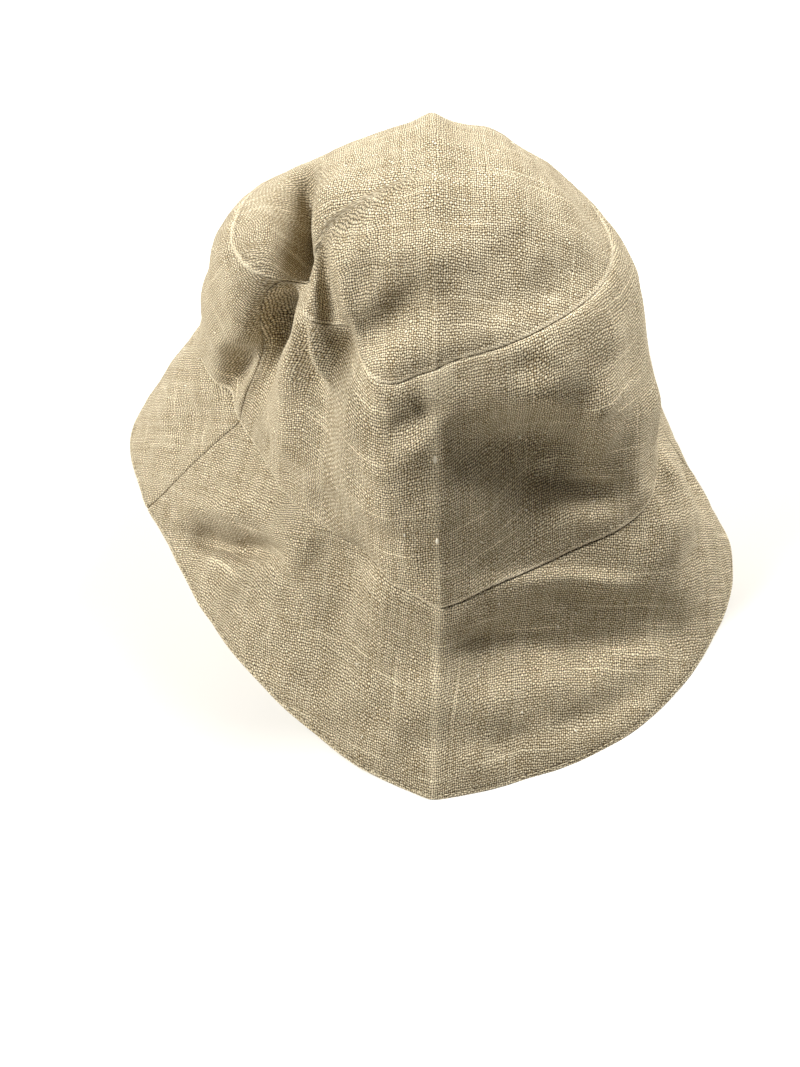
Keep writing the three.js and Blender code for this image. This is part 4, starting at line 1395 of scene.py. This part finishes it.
@dataclass
class LinenHat:
    """The whole hat: its five pieces of cloth, the hem's stitching and the loose fibres."""

    form: HatForm = field(default_factory=HatForm)
    relief: SeamRelief = field(default_factory=SeamRelief)
    crumple: Crumple = field(default_factory=Crumple)
    tip_thickness: float = 0.85
    band_thickness: float = 0.85
    brim_thickness: float = 0.95
    crease_zone: float = 4.0
    crease_step: float = 0.33
    left_step: float = 0.55
    right_step: float = 0.72
    side_steps: tuple[float, ...] = (0, 0.03, 0.11, 0.24, 0.4, 0.6, 0.85, 1.2, 1.7, 2.4, 3.3)
    linen: LinenWeave = LinenWeave()
    stitch_thread: SpunThread = SpunThread("sewing_thread", (0.72, 0.63, 0.45), (0.50, 0.42, 0.27))
    fibre_thread: SpunThread = SpunThread("loose_fibre", (0.78, 0.70, 0.54), (0.55, 0.46, 0.30))
    lump_thread: SpunThread = SpunThread("pale_lump", (0.88, 0.82, 0.68), (0.74, 0.66, 0.50))

    @staticmethod
    def even(start: float, end: float, step: float) -> Array:
        """Gives evenly spaced turns, with the start and without the end."""
        return np.linspace(start, end, max(2, round(abs(end - start) / step)), endpoint=False)

    def half_turns(self, middle: float, before: float, after: float, seamed: bool) -> Array:
        """Gives the turns of one half: fine on its crease and, if seamed, beside its side seams.

        Args:
            middle: The turn of the crease.
            before: The step before the crease, in degrees.
            after: The step after it.
            seamed: Whether the half ends on side seams, or runs on.

        Returns:
            Turns in degrees, rising.
        """
        sides = np.array(self.side_steps if seamed else (0.0,))
        start, end = middle - 90, middle + 90
        crease = (middle - self.crease_zone, middle + self.crease_zone)
        turns = [start + sides[:-1], self.even(start + sides[-1], crease[0], before),
                 self.even(*crease, self.crease_step), self.even(crease[1], end - sides[-1], after)]
        if seamed:
            turns.append(end - sides[::-1])
        return np.concatenate(turns)

    def panels(self) -> list[ClothPanel]:
        """Gives the five pieces of cloth: the top panel, then each half's band and brim."""
        halves = {"FRONT": (0, self.left_step, self.right_step),
                  "BACK": (180, self.right_step, self.right_step)}
        parts = {"BAND": ((1, 2), Edge.TUCKED, Edge.ROLLED, self.band_thickness),
                 "BRIM": ((2, 3), Edge.TUCKED, Edge.HEM, self.brim_thickness)}
        common = (self.form, self.relief, self.crumple)
        round_turns = np.concatenate([self.half_turns(*half, False) for half in halves.values()])
        panels = [ClothPanel(Panel.CROWN_TIP, round_turns, (0, 1), Edge.POLE, Edge.ROLLED,
                             self.tip_thickness, *FLAT_SIZES[Panel.CROWN_TIP], *common)]
        for half, steps in halves.items():
            for part, sewing in parts.items():
                panel = Panel[f"{part}_{half}"]
                turns = self.half_turns(*steps, True)
                panels.append(ClothPanel(panel, turns, *sewing, *FLAT_SIZES[panel], *common))
        return panels

    def build(self) -> None:
        """Builds and dresses every piece of the hat."""
        linen = self.linen.material()
        thread, fibre, lump = (spun.material() for spun in
                               (self.stitch_thread, self.fibre_thread, self.lump_thread))
        for panel in self.panels():
            panel.build(linen)
        HemStitching(self.form, self.relief).build(thread)
        fibres = LooseFibres(self.form)
        fibres.fibre_piece(fibre)
        fibres.lump_piece(lump)


@dataclass(frozen=True)
class SoftLight:
    """One large soft lamp that is aimed at the hat, in metres and watts."""

    name: str
    place: Triple
    size: float
    power: float
    colour: Colour = (1.0, 1.0, 1.0)


@dataclass
class Studio:
    """The pale floor, the soft lamps and the camera, in metres."""

    target: Triple = (-0.010, -0.041, 0.055)
    elevation: float = 55.0
    distance: float = 0.560
    focal_pixels: float = 1430.0
    photo_height: float = 1067.0
    sensor_height: float = 24.0
    aim: Triple = (0.0, 0.0, 0.08)
    floor_size: float = 6.0
    world_light: Colour = (1.0, 0.90, 0.76)
    world_strength: float = 0.04
    lights: tuple[SoftLight, ...] = (
        SoftLight("left_light", (-0.97, 0.0, 0.95), 0.60, 23.0),
        SoftLight("right_light", (0.68, 0.68, 0.95), 0.60, 24.0),
        SoftLight("back_light", (-0.35, 0.95, 0.95), 0.60, 4.5),
    )

    def build_floor(self) -> Piece:
        """Lays a square floor under the brim."""
        half = self.floor_size / 2 / MM
        corners = np.array([(-half, -half, 0), (half, -half, 0), (half, half, 0), (-half, half, 0)])
        floor = mesh_piece("floor", corners, np.array([[0, 1, 2, 3]]), np.zeros((0, 3), int),
                           PaleFloor().material())
        return floor

    def build_lights(self) -> None:
        """Hangs the lamps and sets the world's even light."""
        for lamp in self.lights:
            data = bpy.data.lights.new(lamp.name, "AREA")
            data.shape = "DISK"
            data.size = lamp.size
            data.energy = lamp.power
            data.color = lamp.colour
            light = bpy.data.objects.new(lamp.name, data)
            light.location = lamp.place
            toward = Vector(self.aim) - Vector(lamp.place)
            light.rotation_euler = toward.to_track_quat("-Z", "Y").to_euler()
            bpy.context.scene.collection.objects.link(light)
        world = bpy.data.worlds.new("even_light")
        world.use_nodes = True
        background = world.node_tree.nodes["Background"]
        background.inputs["Color"].default_value = (*self.world_light, 1.0)
        background.inputs["Strength"].default_value = self.world_strength
        bpy.context.scene.world = world
        bpy.context.scene.view_settings.view_transform = "Standard"

    def build_camera(self) -> None:
        """Sets the camera at the photograph's angle, looking along +Y and down."""
        data = bpy.data.cameras.new("camera")
        data.sensor_fit = "VERTICAL"
        data.sensor_height = self.sensor_height
        data.lens = self.focal_pixels * self.sensor_height / self.photo_height
        camera = bpy.data.objects.new("camera", data)
        angle = math.radians(self.elevation)
        back = Vector((0, -math.cos(angle), math.sin(angle)))
        camera.location = Vector(self.target) + back * self.distance
        camera.rotation_euler = (-back).to_track_quat("-Z", "Y").to_euler()
        bpy.context.scene.collection.objects.link(camera)
        bpy.context.scene.camera = camera

    def build(self) -> None:
        """Builds the whole studio."""
        self.build_camera()
        self.build_floor()
        self.build_lights()


def main() -> None:
    """Builds the studio and the hat."""
    logging.basicConfig(level=logging.INFO, format="%(name)s: %(message)s")
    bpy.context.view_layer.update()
    Studio().build()
    LinenHat().build()
    bpy.context.view_layer.update()


if __name__ == "__main__":
    main()
